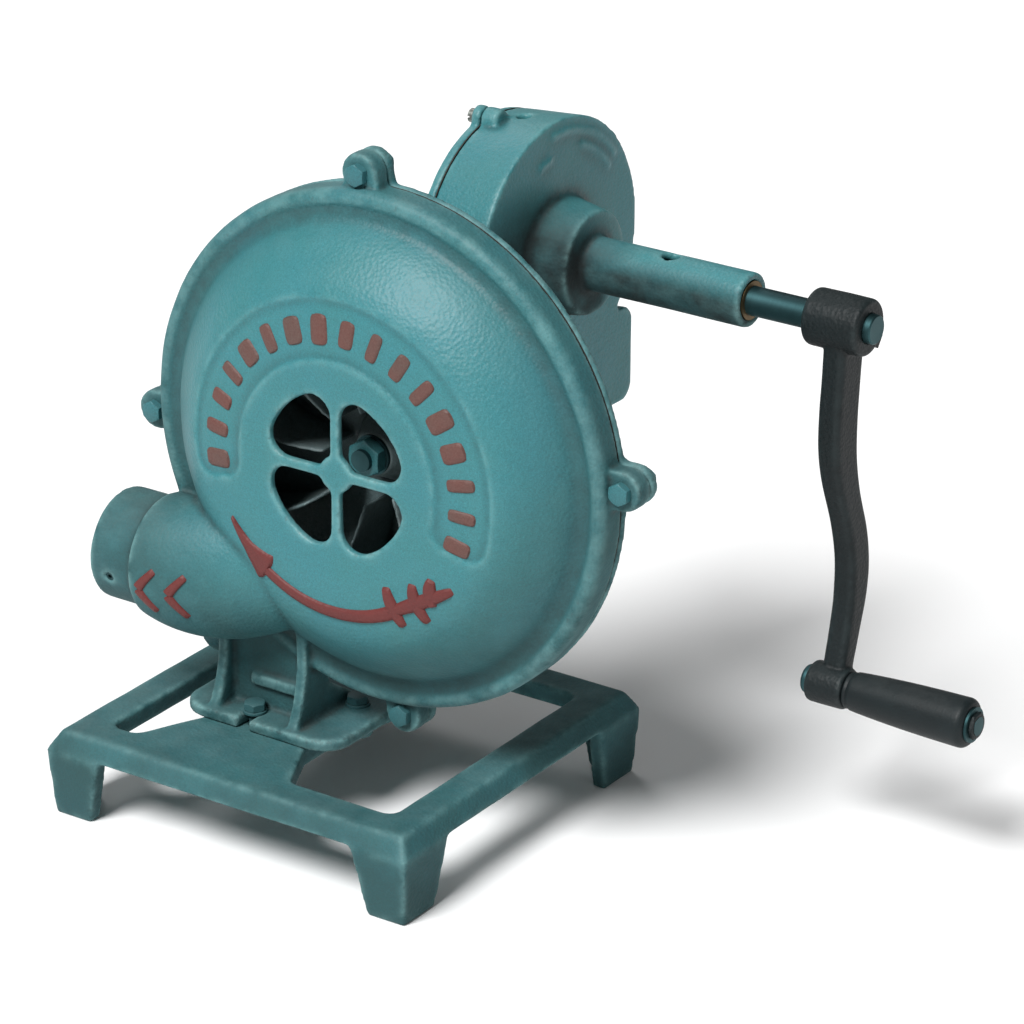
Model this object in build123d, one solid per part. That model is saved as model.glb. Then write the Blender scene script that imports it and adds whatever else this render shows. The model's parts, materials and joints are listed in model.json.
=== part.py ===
from build123d import *
import os
from math import atan, atan2, cos, degrees, hypot, pi, radians, sin, tan

os.makedirs("parts", exist_ok=True)

# Hand crank forge blower. Millimetres, +Z up.
# Working frame: the fan axis runs along +Y through x = 0, the front face of the case rim is y = 0,
# the floor is z = 0. The crank shaft runs along +X. The air leaves towards -X.

# ---- general clearances -------------------------------------------------------------------------
FIT = 0.02             # radial gap of parts that are fixed to each other
RUN = 0.05             # radial gap of running fits
HOLE_GAP = 0.4         # radial gap round a bolt in a plain hole
FAR = 600.0            # beyond the whole part, for cutting blocks

# ---- heights and axes ---------------------------------------------------------------------------
STAND_TOP_Z = 59.3     # top face of the stand
RIM_RAISE = 37.2       # gap between the stand and the lowest point of the rim
CRANK_Y = 158.0        # crank axis behind the rim face

# ---- stand --------------------------------------------------------------------------------------
STAND_LEFT = 104.5     # outer edges of the top face, from the middle of its cross bar
STAND_RIGHT = 164.5
STAND_Y0 = -86.5
STAND_Y1 = 165.5
RAIL_W = 23.0          # width of a rail on top
RAIL_H = 13.6          # depth of a rail
RAIL_DRAFT = 8.0       # how far the rail side slopes out
WINDOW_R = 7.0         # corner radius of a window
BAR_IN = 34.0          # middle of the cross bar that carries the pedestal, from its left rib
BAR_WAIST = 41.0       # half width of the bar at its waist
BAR_END = 62.0         # half width of the bar where it meets the rails
BAR_WAIST_Y = (-20.0, 0.0)
PAD_R = 10.0           # pads of the bar round the bolts beside the waist
FOOT_TOP_X = 43.0      # leg lengths and thickness of an angle foot
FOOT_TOP_Y = 48.0
FOOT_LOW_X = 29.0
FOOT_LOW_Y = 34.0
FOOT_T = 11.0
FOOT_DRAFT = 3.5

# ---- fan case -----------------------------------------------------------------------------------
RIM_R = 170.5
RIM_WALL = 10.5        # thickness of the rim outside the air channel
RIM_FRONT_D = 19.0     # depth of the front case rim
BACK_FLANGE_T = 6.0
GASKET_T = 0.8
DOME_H = 43.0          # dome in front of the rim
DOME_FLAT_R = 72.0
LIP_W = 12.8           # rounded lip between the dome and the outside of the rim
WALL = 6.0
BACK_DISH = 15.0       # dish of the back case behind its flange
INTAKE_R = 53.0
INTAKE_HUB_R = 12.0
WEB_W = 6.8            # webs between the four intake petals
PETAL_IN_R = 4.0       # corner radius of a petal next to the hub
PETAL_OUT_R = 13.0     # corner radius of a petal next to the rim of the intake
BAND_R0 = 74.0         # sunk horseshoe band
BAND_R1 = 112.0
BAND_DEPTH = 2.0
BAND_FROM = -21.0      # angles of the right and the left end of the band
BAND_TO = 194.0
BAND_CORNER = 12.0

# ---- outlet -------------------------------------------------------------------------------------
OUT_Y = -18.0
OUT_RISE = 70.5        # outlet axis above the lowest point of the rim
OUT_REACH = 17.5       # mouth beyond the rim
SPIGOT_R = 36.9
SPIGOT_L = 38.0
BORE_R = 31.75
BORE_IN = 42.0         # length of the bore behind the spigot
PIPE_SCREW_IN = 15.0   # set screw behind the mouth
PIPE_SCREW_TILT = 14.0
PIPE_SCREW_R = 3.0
BELL_R = 41.0          # step behind the spigot
BELL_H = 50.0          # half height of the pipe where it joins the case

# ---- lugs and bolts of the case -----------------------------------------------------------------
LUG_R = 13.0
LUG_OUT = 8.5          # centres of the four even lugs beyond the rim
LUG_ANGLE = 4.6
LUG_FRONT_Y = 6.0
LUG_LOW_OUT = 39.0     # fifth lug, under the outlet
LUG_LOW_ANGLE = 230.2
BOLT_R = 4.0           # M8
BOLT_FLATS = 6.5       # half the width across the flats
HEAD_T = 5.3
NUT_T = 6.5

# ---- pedestal -----------------------------------------------------------------------------------
LUG_TO_RIB = 15.1      # left rib beyond the centre of the fifth lug
RIB_SPAN = 63.0        # between the two ribs
RIB_T = 8.0
FLANGE_LEFT = 26.0     # flange beyond the left and the right rib
FLANGE_RIGHT = 36.0
FLANGE_Y0 = -23.0
FLANGE_Y1 = 60.0
FLANGE_T = 8.0
FLANGE_CORNER = 20.0
COLUMN_Y0 = 0.0
COLUMN_UP = 32.0       # the column ends this far below the outlet axis
FOOT_BOLT_PLACES = ((27.0, -9.0), (75.5, 37.0), (-12.5, 37.0))  # x from the left rib, y
FOOT_WASHER_R = 8.0
FOOT_WASHER_T = 1.8

# ---- worm drive ---------------------------------------------------------------------------------
WHEEL_TEETH = 48
WORM_STARTS = 3
WHEEL_PR = 74.0        # pitch radii of the wheel and the worm
WORM_PR = 15.0
ADDENDUM = 2.6
DEDENDUM = 3.1
FLANK = 20.0           # flank angle
TOOTH_SHARE = 0.86     # tooth thickness over half the pitch
WHEEL_FACE = 14.0
WORM_L = 68.0

# ---- gear housing -------------------------------------------------------------------------------
WHEEL_ROOM = 2.4       # gap between the wheel and the housing
HOUSE_SHELL = 11.0     # thickness of the housing round the wheel
HOUSE_X0 = -15.0       # open side, closed by the side cover
HOUSE_X1 = 31.0
HOUSE_DRAFT = 4.0
HOUSE_WALL = 10.0
WAIST_IN = 20.0        # the housing's waist inside its round
SIDE_T = 7.0           # side cover
SIDE_RECESS = 3.6      # hollow in its inner face
SUMP_FRONT_IN = 6.0    # ends of the worm room inside the round of the housing
SUMP_BACK_IN = 3.0
SUMP_CORNER = 12.0
ROOM_IN = 25.0         # ends of its hollow inside that round
SUMP_DOWN = 37.0       # bottom and top of the worm room outside, from the fan axis
SUMP_UP = 29.0
SUMP_WALL = 13.0
DRAIN_BACK = 40.0      # drain plug behind the crank axis
DRAIN_R = 6.0
NECK_R = 58.0
NECK_FLANGE_T = 10.0
NECK_END_R = 36.0
NECK_PCR = 48.0
NECK_SCREW_R = 3.0
NECK_SPIGOT_R = 27.9
BOSS_R = 36.0
BOSS_L = 27.0
SLEEVE_R = 17.6
SLEEVE_L = 117.0
OIL_HOLE_R = 5.5
OIL_HOLE_X = 115.0
TOP_HOLE_R = 4.3
EAR_R = 8.0
EAR_SCREW_R = 2.5
FACE_ARCS = ((9.0, 38, 96), (18.5, 37, 70), (23.0, 98, 110))  # raised arcs: way in, start, end

# ---- shafts -------------------------------------------------------------------------------------
CRANK_SHAFT_R = 9.4
CRANK_SHAFT_X0 = -30.0
CRANK_SHAFT_X1 = 264.0
BUSH_R = 12.5
BUSH_L = 25.0
FAN_SHAFT_R = 8.0
FAN_NOSE_R = 7.0
FAN_BUSH_R = 13.0
KEY_W = 5.0
WORM_PIN_R = 2.0

# ---- impeller -----------------------------------------------------------------------------------
FAN_GAP = 45.0         # air channel between the fan wheel and the case
FAN_EYE_R = 30.0
BLADES = 8
BLADE_T = 2.4
FAN_Y0 = -24.0
FAN_Y1 = 24.0
DISC_T = 3.0
FAN_HUB_R = 18.0

# ---- crank --------------------------------------------------------------------------------------
CRANK_R = 246.0
HUB_X0 = 219.5
HUB_X1 = 259.0
HUB_R = 18.3
ARM_X = 241.0
ARM_T = 16.0
EYE_R = 13.5
EYE_X0 = 226.0
EYE_X1 = 252.5
HUB_SCREW_R = 4.0
HUB_SCREW_TILT = -126.0
PIN_R = 6.0
PIN_HEAD_R = 9.5
GRIP_L = 88.0
GRIP_R0 = 12.6
GRIP_R1 = 16.2
GRIP_PLAY = 0.3
GRIP_WASHER_T = 1.6
GRIP_WASHER_R = 11.5
GRIP_NUT_T = 2.8

# ---- values that follow from the ones above -----------------------------------------------------
FAN_Z = STAND_TOP_Z + RIM_RAISE + RIM_R
CRANK_Z = FAN_Z + WHEEL_PR + WORM_PR
CASE_R = RIM_R - RIM_WALL
FAN_R = CASE_R - FAN_GAP
OUT_Z = FAN_Z - RIM_R + OUT_RISE
OUT_X = -(RIM_R + OUT_REACH)
PIPE_SCREW_X = OUT_X + PIPE_SCREW_IN
LUG_PCR = RIM_R + LUG_OUT
LUG_LOW_X = (RIM_R + LUG_LOW_OUT) * cos(radians(LUG_LOW_ANGLE))
RIB_X = (LUG_LOW_X + LUG_TO_RIB, LUG_LOW_X + LUG_TO_RIB + RIB_SPAN)
BAR_X = RIB_X[0] + BAR_IN
STAND_X0 = BAR_X - STAND_LEFT
STAND_X1 = BAR_X + STAND_RIGHT
FOOT_BOLTS = [(RIB_X[0] + along, y) for along, y in FOOT_BOLT_PLACES]
CAVITY_R = WHEEL_PR + ADDENDUM + WHEEL_ROOM
HOUSE_R = CAVITY_R + HOUSE_SHELL
SUMP_Y0 = CRANK_Y - HOUSE_R + SUMP_FRONT_IN
SUMP_Y1 = CRANK_Y + HOUSE_R - SUMP_BACK_IN
SUMP_Z0 = FAN_Z - SUMP_DOWN
SUMP_Z1 = FAN_Z + SUMP_UP
EYE_Z = CRANK_Z - CRANK_R
GRIP_X0 = EYE_X1 + GRIP_PLAY
GRIP_X1 = GRIP_X0 + GRIP_L
SPLIT_Y = RIM_FRONT_D
BACK_Y0 = SPLIT_Y + GASKET_T
BACK_Y1 = BACK_Y0 + BACK_FLANGE_T
DISH_Y = BACK_Y1 + BACK_DISH
PITCH = 2 * pi * WHEEL_PR / WHEEL_TEETH
LEAD = PITCH * WORM_STARTS


# ---- small helpers ------------------------------------------------------------------------------
def box(x0, x1, y0, y1, z0, z1):
    """Block between two corners."""
    centre = ((x0 + x1) / 2, (y0 + y1) / 2, (z0 + z1) / 2)
    return Pos(*centre) * Box(x1 - x0, y1 - y0, z1 - z0)


def rod_x(x0, x1, y, z, r):
    """Cylinder along X."""
    return Pos((x0 + x1) / 2, y, z) * Rot(0, 90, 0) * Cylinder(r, x1 - x0)


def rod_y(x, y0, y1, z, r):
    """Cylinder along Y."""
    return Pos(x, (y0 + y1) / 2, z) * Rot(-90, 0, 0) * Cylinder(r, y1 - y0)


def rod_z(x, y, z0, z1, r):
    """Cylinder along Z."""
    return Pos(x, y, (z0 + z1) / 2) * Cylinder(r, z1 - z0)


def cone_y(x, y0, y1, z, r0, r1):
    """Cone along Y, radius r0 at y0 and r1 at y1."""
    return Pos(x, (y0 + y1) / 2, z) * Rot(-90, 0, 0) * Cone(r0, r1, y1 - y0)


def cone_x(x0, x1, y, z, r0, r1):
    """Cone along X, radius r0 at x0 and r1 at x1."""
    return Pos((x0 + x1) / 2, y, z) * Rot(0, 90, 0) * Cone(r0, r1, x1 - x0)


def hex_prism(r_across, height):
    """Hexagon standing on z = 0, r_across measured to the flats."""
    return extrude(RegularPolygon(r_across, 6, major_radius=False), height)


def polar(radius, angle, y=0.0, z=0.0):
    """Point on a circle round (y, z), the angle in degrees from the first axis."""
    return y + radius * cos(radians(angle)), z + radius * sin(radians(angle))


def turned(profile):
    """Solid turned about the fan axis from a face of (radius, y) points."""
    return Pos(0, 0, FAN_Z) * revolve(profile, Axis.Y, 360)


def one(shape):
    """The single solid of a shape."""
    return shape.solid() if len(shape.solids()) == 1 else shape


# ---- stand --------------------------------------------------------------------------------------
def angle_section(sx, sy, leg_x, leg_y, inset, z):
    """L-shaped face of a foot; sx and sy give the corner, inset moves it inwards."""
    cx = (STAND_X1 if sx > 0 else STAND_X0) + sx * (RAIL_DRAFT - inset)
    cy = (STAND_Y1 if sy > 0 else STAND_Y0) + sy * (RAIL_DRAFT - inset)
    corners = [(0, 0), (leg_x, 0), (leg_x, FOOT_T), (FOOT_T, FOOT_T), (FOOT_T, leg_y), (0, leg_y)]
    points = [(cx - sx * px, cy - sy * py, z) for px, py in corners]
    return make_face(Polyline(*points, close=True))


def stand_foot(sx, sy):
    """Tapered angle foot in one corner."""
    top = angle_section(sx, sy, FOOT_TOP_X, FOOT_TOP_Y, 0.0, STAND_TOP_Z - RAIL_H)
    low = angle_section(sx, sy, FOOT_LOW_X, FOOT_LOW_Y, FOOT_DRAFT, 0.0)
    return loft([low, top], ruled=True)


def stand_window(side, outer_x, y0, y1):
    """Opening between the cross bar and the left or right rail; the bar is slimmest at its waist."""
    waist = BAR_X + side * BAR_WAIST
    end = BAR_X + side * BAR_END
    points = [(end, y0), (outer_x, y0), (outer_x, y1), (end, y1), (waist, BAR_WAIST_Y[1]), (waist, BAR_WAIST_Y[0])]
    face = make_face(Polyline(*points, close=True))
    face = fillet(face.vertices(), WINDOW_R)
    return Pos(0, 0, STAND_TOP_Z - RAIL_H - 1) * extrude(face, RAIL_H + 2)


def stand_frame():
    """Cast frame: drafted rails, cross bar with flared ends and four feet."""
    z_low = STAND_TOP_Z - RAIL_H
    centre = ((STAND_X0 + STAND_X1) / 2, (STAND_Y0 + STAND_Y1) / 2)
    size = (STAND_X1 - STAND_X0, STAND_Y1 - STAND_Y0)
    low = Pos(centre[0], centre[1], z_low) * Rectangle(size[0] + 2 * RAIL_DRAFT, size[1] + 2 * RAIL_DRAFT)
    top = Pos(centre[0], centre[1], STAND_TOP_Z) * Rectangle(*size)
    body = loft([low.face(), top.face()], ruled=True)
    x0 = STAND_X0 + RAIL_W
    x1 = STAND_X1 - RAIL_W
    y0 = STAND_Y0 + RAIL_W
    y1 = STAND_Y1 - RAIL_W
    body -= stand_window(-1, x0, y0, y1) + stand_window(1, x1, y0, y1)
    for bx, by in FOOT_BOLTS[1:]:
        body += rod_z(bx, by, z_low, STAND_TOP_Z, PAD_R)
    for sx in (-1, 1):
        for sy in (-1, 1):
            body += stand_foot(sx, sy)
    for bx, by in FOOT_BOLTS:
        body -= rod_z(bx, by, z_low - 1, STAND_TOP_Z + 1, BOLT_R)
    return body


# ---- fan case -----------------------------------------------------------------------------------
def dome_curve(inset):
    """Points of the dome, from the flat front to the cove inside the rim."""
    # share of the way from the flat front to the lip, share of the height
    shape = ((0, 1), (0.269, 0.955), (0.471, 0.86), (0.706, 0.53), (0.882, 0.15), (1, 0))
    slope_w = RIM_R - LIP_W - DOME_FLAT_R
    points = [(DOME_FLAT_R + slope_w * k, -DOME_H * h) for k, h in shape]
    return [(px - inset * 0.75 * min(1, i / 3), py + inset) for i, (px, py) in enumerate(points)]


def front_outer():
    """Outer body of the front case, turned about the fan axis."""
    curve = dome_curve(0.0)
    lip_r = curve[-1][0] + 2
    edges = Line((0, -DOME_H), curve[0])
    edges += Spline(*curve, tangents=((1, 0), (1, 0)))
    edges += Line(curve[-1], (lip_r, 0))
    edges += ThreePointArc((lip_r, 0), ((lip_r + RIM_R) / 2 + 0.6, -2.0), (RIM_R, 3.5))
    edges += Polyline((RIM_R, 3.5), (RIM_R, SPLIT_Y), (0, SPLIT_Y), (0, -DOME_H))
    return turned(make_face(edges))


def front_inner():
    """Hollow of the front case."""
    curve = dome_curve(WALL)
    edges = Line((0, -DOME_H + WALL), curve[0])
    edges += Spline(*curve, tangents=((1, 0), (1, 0.2)))
    edges += Polyline(curve[-1], (CASE_R, 12), (CASE_R, SPLIT_Y + 1), (0, SPLIT_Y + 1), (0, -DOME_H + WALL))
    return turned(make_face(edges))


def oval(x, y, z, ry, rz):
    """Elliptical face square to X."""
    plane = Plane(origin=(x, y, z), x_dir=(0, 1, 0), z_dir=(1, 0, 0))
    return plane * Ellipse(ry, rz)


def outlet_outer():
    """Spigot, step and the flattened bell that runs into the dome."""
    spigot = rod_x(OUT_X, OUT_X + SPIGOT_L + 6, OUT_Y, OUT_Z, SPIGOT_R)
    step_x = OUT_X + SPIGOT_L - 4
    # way behind the step, middle (y, z) and half sizes of each section
    stations = ((0, 0, 0, BELL_R, BELL_R), (36, 2, -2, BELL_R - 2, BELL_H - 4),
                (72, 8, 4, BELL_R - 6, BELL_H - 4), (112, 14, 14, BELL_R - 12, BELL_H - 14))
    sections = [oval(step_x + along, OUT_Y + dy, OUT_Z + dz, ry, rz) for along, dy, dz, ry, rz in stations]
    bell = loft([section.face() for section in sections])
    behind = box(OUT_X - 1, 0, SPLIT_Y, SPLIT_Y + 2 * BELL_H, OUT_Z - 2 * BELL_H, OUT_Z + 2 * BELL_H)
    return spigot + bell - behind


def outlet_bore():
    """Round air way from the mouth into the case."""
    end_x = OUT_X + SPIGOT_L + BORE_IN
    return rod_x(OUT_X - 1, end_x, OUT_Y, OUT_Z, BORE_R) + Pos(end_x, OUT_Y, OUT_Z) * Sphere(BORE_R)


def pipe_screw_rod(r0, r1, radius):
    """Cylinder out from the outlet axis, in the direction of the screw that holds the pipe."""
    body = Pos(0, 0, (r0 + r1) / 2) * Cylinder(radius, r1 - r0)
    return Pos(PIPE_SCREW_X, OUT_Y, OUT_Z) * Rot(90 + PIPE_SCREW_TILT, 0, 0) * body


def lug_places():
    """Centres (x, z) of the five lugs."""
    even = [polar(LUG_PCR, LUG_ANGLE + 90 * i, 0, FAN_Z) for i in range(4)]
    return even + [polar(RIM_R + LUG_LOW_OUT, LUG_LOW_ANGLE, 0, FAN_Z)]


def lug(x, z, y0, y1):
    """Lug with a neck that runs into the rim."""
    angle = degrees(atan2(z - FAN_Z, x))
    reach = hypot(x, z - FAN_Z)
    neck = box(RIM_R - RIM_WALL - 3, reach, -LUG_R, LUG_R, y0, y1)
    neck = Pos(0, 0, FAN_Z) * Rot(0, -angle, 0) * Rot(90, 0, 0) * Pos(0, 0, -y0 - y1) * neck
    return rod_y(x, y0, y1, z, LUG_R) + neck


def petal(quadrant):
    """One rounded opening of the intake."""
    sector = Circle(INTAKE_R) - Circle(INTAKE_HUB_R)
    sector &= Pos(INTAKE_R / 2 + WEB_W / 2, INTAKE_R / 2 + WEB_W / 2) * Rectangle(INTAKE_R, INTAKE_R)
    corners = sector.vertices().sort_by(lambda v: hypot(v.X, v.Y))
    sector = fillet(corners[2:], PETAL_OUT_R)
    corners = sector.vertices().sort_by(lambda v: hypot(v.X, v.Y))
    sector = fillet(corners[:2], PETAL_IN_R)
    cut = extrude(sector, 4 * WALL)
    return Pos(0, -DOME_H + 3 * WALL, FAN_Z) * Rot(90, 0, 0) * Rot(0, 0, 90 * quadrant) * cut


def horseshoe_band():
    """Sunk band round the upper side of the intake."""
    far = 3 * BAND_R1
    wedge_points = [(0, 0), polar(far, BAND_TO - 360), polar(far, -90), polar(far, BAND_FROM)]
    wedge = make_face(Polyline(*wedge_points, close=True))
    ring = Circle(BAND_R1) - Circle(BAND_R0) - wedge
    ring = fillet(ring.vertices(), BAND_CORNER)
    deep = extrude(ring, DOME_H)
    return Pos(0, -DOME_H / 2, FAN_Z) * Rot(90, 0, 0) * deep


def band_cutter():
    """Space between the dome and the same dome sunk by the band's depth."""
    return horseshoe_band() - Pos(0, BAND_DEPTH, 0) * front_outer()


def rib(x):
    """Upright rib of the pedestal, its front edge swept forwards at the foot."""
    z0 = STAND_TOP_Z + FLANGE_T - 1
    z1 = OUT_Z - COLUMN_UP
    front = Spline((FLANGE_Y0 + 3, z0), (-13, z0 + 14), (-8, (z0 + z1) / 2), (-8, z1))
    back = Polyline((-8, z1), (SPLIT_Y, z1), (SPLIT_Y, z0), (FLANGE_Y0 + 3, z0))
    face = Plane.YZ * make_face(front + back)
    return Pos(x - RIB_T / 2, 0, 0) * extrude(face, RIB_T, dir=(1, 0, 0))


def pedestal():
    """Foot cast to the case: flange, column and two ribs."""
    z0 = STAND_TOP_Z
    z1 = z0 + FLANGE_T
    flange = box(RIB_X[0] - FLANGE_LEFT, RIB_X[1] + FLANGE_RIGHT, FLANGE_Y0, FLANGE_Y1, z0, z1)
    flange = fillet(flange.edges().filter_by(Axis.Z), FLANGE_CORNER)
    column = box(RIB_X[0], RIB_X[1], COLUMN_Y0, SPLIT_Y, z1 - 1, OUT_Z - COLUMN_UP)
    ledge = box(RIB_X[0] + 20, RIB_X[1], COLUMN_Y0 - 5, COLUMN_Y0 + 1, z1 + 16, z1 + 24)
    brace = Polyline((SPLIT_Y - 1, z1 - 1), (FLANGE_Y1 - 8, z1 - 1), (SPLIT_Y - 1, z1 + 22), close=True)
    brace_face = Plane.YZ * make_face(brace)
    body = flange + column + ledge
    for x in RIB_X:
        body += rib(x)
        body += Pos(x - RIB_T / 2, 0, 0) * extrude(brace_face, RIB_T, dir=(1, 0, 0))
    for bx, by in FOOT_BOLTS:
        body -= rod_z(bx, by, z0 - 1, z1 + 1, BOLT_R + HOLE_GAP)
    slot_x, slot_y = FOOT_BOLTS[0]
    slot_r = BOLT_R + HOLE_GAP
    return body - box(slot_x - slot_r, slot_x + slot_r, FLANGE_Y0 - 1, slot_y, z0 - 1, z1 + 1)


def fan_case_front():
    """Front casting with dome, intake, band, outlet, lugs and foot."""
    body = front_outer() + outlet_outer() + pedestal()
    for x, z in lug_places():
        body += lug(x, z, LUG_FRONT_Y, SPLIT_Y)
    body -= front_inner()
    body -= outlet_bore()
    body -= band_cutter()
    for quadrant in range(4):
        body -= petal(quadrant)
    for x, z in lug_places():
        body -= rod_y(x, LUG_FRONT_Y - 1, SPLIT_Y + 1, z, BOLT_R + HOLE_GAP)
    return body - pipe_screw_rod(BORE_R - 5, SPIGOT_R + 5, PIPE_SCREW_R)


def case_gasket():
    """Paper ring between the two case castings."""
    hollow = rod_y(0, SPLIT_Y - 1, BACK_Y0 + 1, FAN_Z, CASE_R + 1)
    return rod_y(0, SPLIT_Y, BACK_Y0, FAN_Z, RIM_R - 1) - hollow


def fan_case_back():
    """Dished back plate with lugs and the round opening for the gear housing."""
    rim = Polyline((0, BACK_Y0), (RIM_R, BACK_Y0), (RIM_R, BACK_Y1), (CASE_R + 2, BACK_Y1))
    edge = Spline((CASE_R + 2, BACK_Y1), (CASE_R - 6, DISH_Y - 5), (CASE_R - 20, DISH_Y),
                  tangents=((-0.1, 1), (-1, 0)))
    rest = Polyline((CASE_R - 20, DISH_Y), (0, DISH_Y), (0, BACK_Y0))
    body = turned(make_face(rim + edge + rest))
    hollow = Polyline((0, BACK_Y0 - 1), (CASE_R - 3, BACK_Y0 - 1), (CASE_R - 7, BACK_Y1),
                      (CASE_R - 24, DISH_Y - WALL), (0, DISH_Y - WALL), close=True)
    for x, z in lug_places():
        body += lug(x, z, BACK_Y0, BACK_Y1 + 2)
    body -= turned(make_face(hollow))
    body -= rod_y(0, BACK_Y0, DISH_Y + 1, FAN_Z, NECK_SPIGOT_R + RUN)
    for x, z in lug_places():
        body -= rod_y(x, BACK_Y0 - 1, BACK_Y1 + 3, z, BOLT_R + HOLE_GAP)
    for i in range(4):
        sx, sz = polar(NECK_PCR, 45 + 90 * i, 0, FAN_Z)
        body -= rod_y(sx, BACK_Y0, DISH_Y + 1, sz, NECK_SCREW_R - FIT)
    return body


def case_bolt(x, z):
    """Hexagon bolt of one lug, head to the front."""
    head = Pos(x, LUG_FRONT_Y, z) * Rot(90, 0, 0) * hex_prism(BOLT_FLATS, HEAD_T)
    return head + rod_y(x, LUG_FRONT_Y - 1, BACK_Y1 + 12, z, BOLT_R)


def case_nut(x, z):
    """Nut behind one lug."""
    nut = Pos(x, BACK_Y1 + 2 + NUT_T, z) * Rot(90, 0, 0) * hex_prism(BOLT_FLATS, NUT_T)
    return nut - rod_y(x, BACK_Y1, BACK_Y1 + 20, z, BOLT_R + FIT)


def outlet_set_screw():
    """Socket screw that holds the air pipe in the outlet."""
    screw = pipe_screw_rod(BORE_R + 0.3, SPIGOT_R - 1.5, PIPE_SCREW_R - FIT)
    return screw - pipe_screw_rod(SPIGOT_R - 3.5, SPIGOT_R, 1.5)


def foot_washer(x, y):
    """Plain washer on the pedestal flange."""
    z = STAND_TOP_Z + FLANGE_T
    hole = rod_z(x, y, z - 1, z + FOOT_WASHER_T + 1, BOLT_R + FIT)
    return rod_z(x, y, z, z + FOOT_WASHER_T, FOOT_WASHER_R) - hole


def foot_bolt(x, y):
    """Hexagon bolt through the flange into the stand."""
    z = STAND_TOP_Z + FLANGE_T + FOOT_WASHER_T
    return Pos(x, y, z) * hex_prism(BOLT_FLATS, HEAD_T) + rod_z(x, y, STAND_TOP_Z - RAIL_H, z + 1, BOLT_R - FIT)


# ---- fan ----------------------------------------------------------------------------------------
def blade(index):
    """Curved blade between the eye and the rim of the disc."""
    mid_r = (FAN_EYE_R + FAN_R) / 2
    inner = ThreePointArc((FAN_EYE_R, 0), (mid_r, -9), (FAN_R - 3, -34))
    outer = ThreePointArc((FAN_EYE_R, BLADE_T), (mid_r, -9 + BLADE_T), (FAN_R - 3, -34 + BLADE_T * 1.3))
    ends = Line(inner @ 0, outer @ 0) + Line(inner @ 1, outer @ 1)
    face = make_face(inner + outer + ends)
    body = extrude(face, FAN_Y1 - DISC_T - FAN_Y0 + 1)
    turned_blade = Rot(90, 0, 0) * Rot(0, 0, 360 / BLADES * index) * body
    return Pos(0, FAN_Y1 - DISC_T + 1, FAN_Z) * turned_blade


def impeller():
    """Cast fan wheel: back disc, hub and curved blades."""
    body = rod_y(0, FAN_Y1 - DISC_T, FAN_Y1, FAN_Z, FAN_R)
    body += cone_y(0, -2, FAN_Y1 - DISC_T + 1, FAN_Z, FAN_HUB_R - 4, FAN_HUB_R + 8)
    for index in range(BLADES):
        body += blade(index)
    slope = cone_y(0, FAN_Y0 - 1, FAN_Y0 + 14, FAN_Z, FAN_EYE_R + 26, FAN_EYE_R - 10)
    body -= slope - rod_y(0, -4, 20, FAN_Z, FAN_HUB_R + 1)
    body -= rod_y(0, FAN_Y0 - 2, FAN_Y1 + 1, FAN_Z, FAN_NOSE_R + FIT)
    return body


def fan_shaft():
    """Stepped shaft that carries the fan and the worm."""
    body = rod_y(0, FAN_Y1, SUMP_Y1 - 2, FAN_Z, FAN_SHAFT_R)
    body += rod_y(0, FAN_Y1, FAN_Y1 + 5, FAN_Z, FAN_SHAFT_R + 3)
    body += rod_y(0, -16, FAN_Y1 + 1, FAN_Z, FAN_NOSE_R)
    return body - rod_z(0, CRANK_Y + WORM_L / 2 - 5, FAN_Z - 20, FAN_Z + 20, WORM_PIN_R)


def fan_washer():
    """Washer between the impeller and its nut."""
    return rod_y(0, -4, -2, FAN_Z, 13.0) - rod_y(0, -5, -1, FAN_Z, FAN_NOSE_R + FIT)


def fan_nut():
    """Hexagon nut on the nose of the fan shaft."""
    nut = Pos(0, -4, FAN_Z) * Rot(90, 0, 0) * hex_prism(11.0, 9.0)
    return nut - rod_y(0, -20, 0, FAN_Z, FAN_NOSE_R + FIT)


def worm_section():
    """Cross section of the worm, one lobe for each start."""
    half_pitch = PITCH * TOOTH_SHARE / 4
    points = []
    levels = (-DEDENDUM, 0.0, ADDENDUM)
    for start in range(WORM_STARTS):
        middle = 360 / WORM_STARTS * start
        widths = [(WORM_PR + d, (half_pitch - d * tan(radians(FLANK))) / LEAD * 360) for d in levels]
        points += [polar(r, middle - w) for r, w in widths]
        points += [polar(r, middle + w) for r, w in reversed(widths)]
    return make_face(Polyline(*points, close=True))


def worm():
    """Three-start right-hand worm on the fan shaft."""
    face = worm_section()
    body = Solid.extrude_linear_with_rotation(face.face(), (0, 0, 0), (0, 0, WORM_L), WORM_L / LEAD * 360)
    # the middle of the worm lies at CRANK_Y, and a gap between two threads faces the wheel there
    at_middle = WORM_L / 2 / LEAD * 360
    gap_angle = 180 / WORM_STARTS
    body = Rot(0, 0, gap_angle - at_middle) * body
    body = Pos(0, CRANK_Y - WORM_L / 2, FAN_Z) * Rot(-90, 0, 0) * Rot(0, 0, -90) * body
    body -= rod_y(0, 0, FAR, FAN_Z, FAN_SHAFT_R + FIT)
    return body - rod_z(0, CRANK_Y + WORM_L / 2 - 5, FAN_Z - 30, FAN_Z + 30, WORM_PIN_R)


def worm_pin():
    """Cross pin that fixes the worm on the shaft."""
    return rod_z(0, CRANK_Y + WORM_L / 2 - 5, FAN_Z - 11.5, FAN_Z + 11.5, WORM_PIN_R - FIT)


def fan_bush(y0, y1):
    """Plain bearing of the fan shaft."""
    return rod_y(0, y0, y1, FAN_Z, FAN_BUSH_R - FIT) - rod_y(0, y0 - 1, y1 + 1, FAN_Z, FAN_SHAFT_R + RUN)


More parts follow.
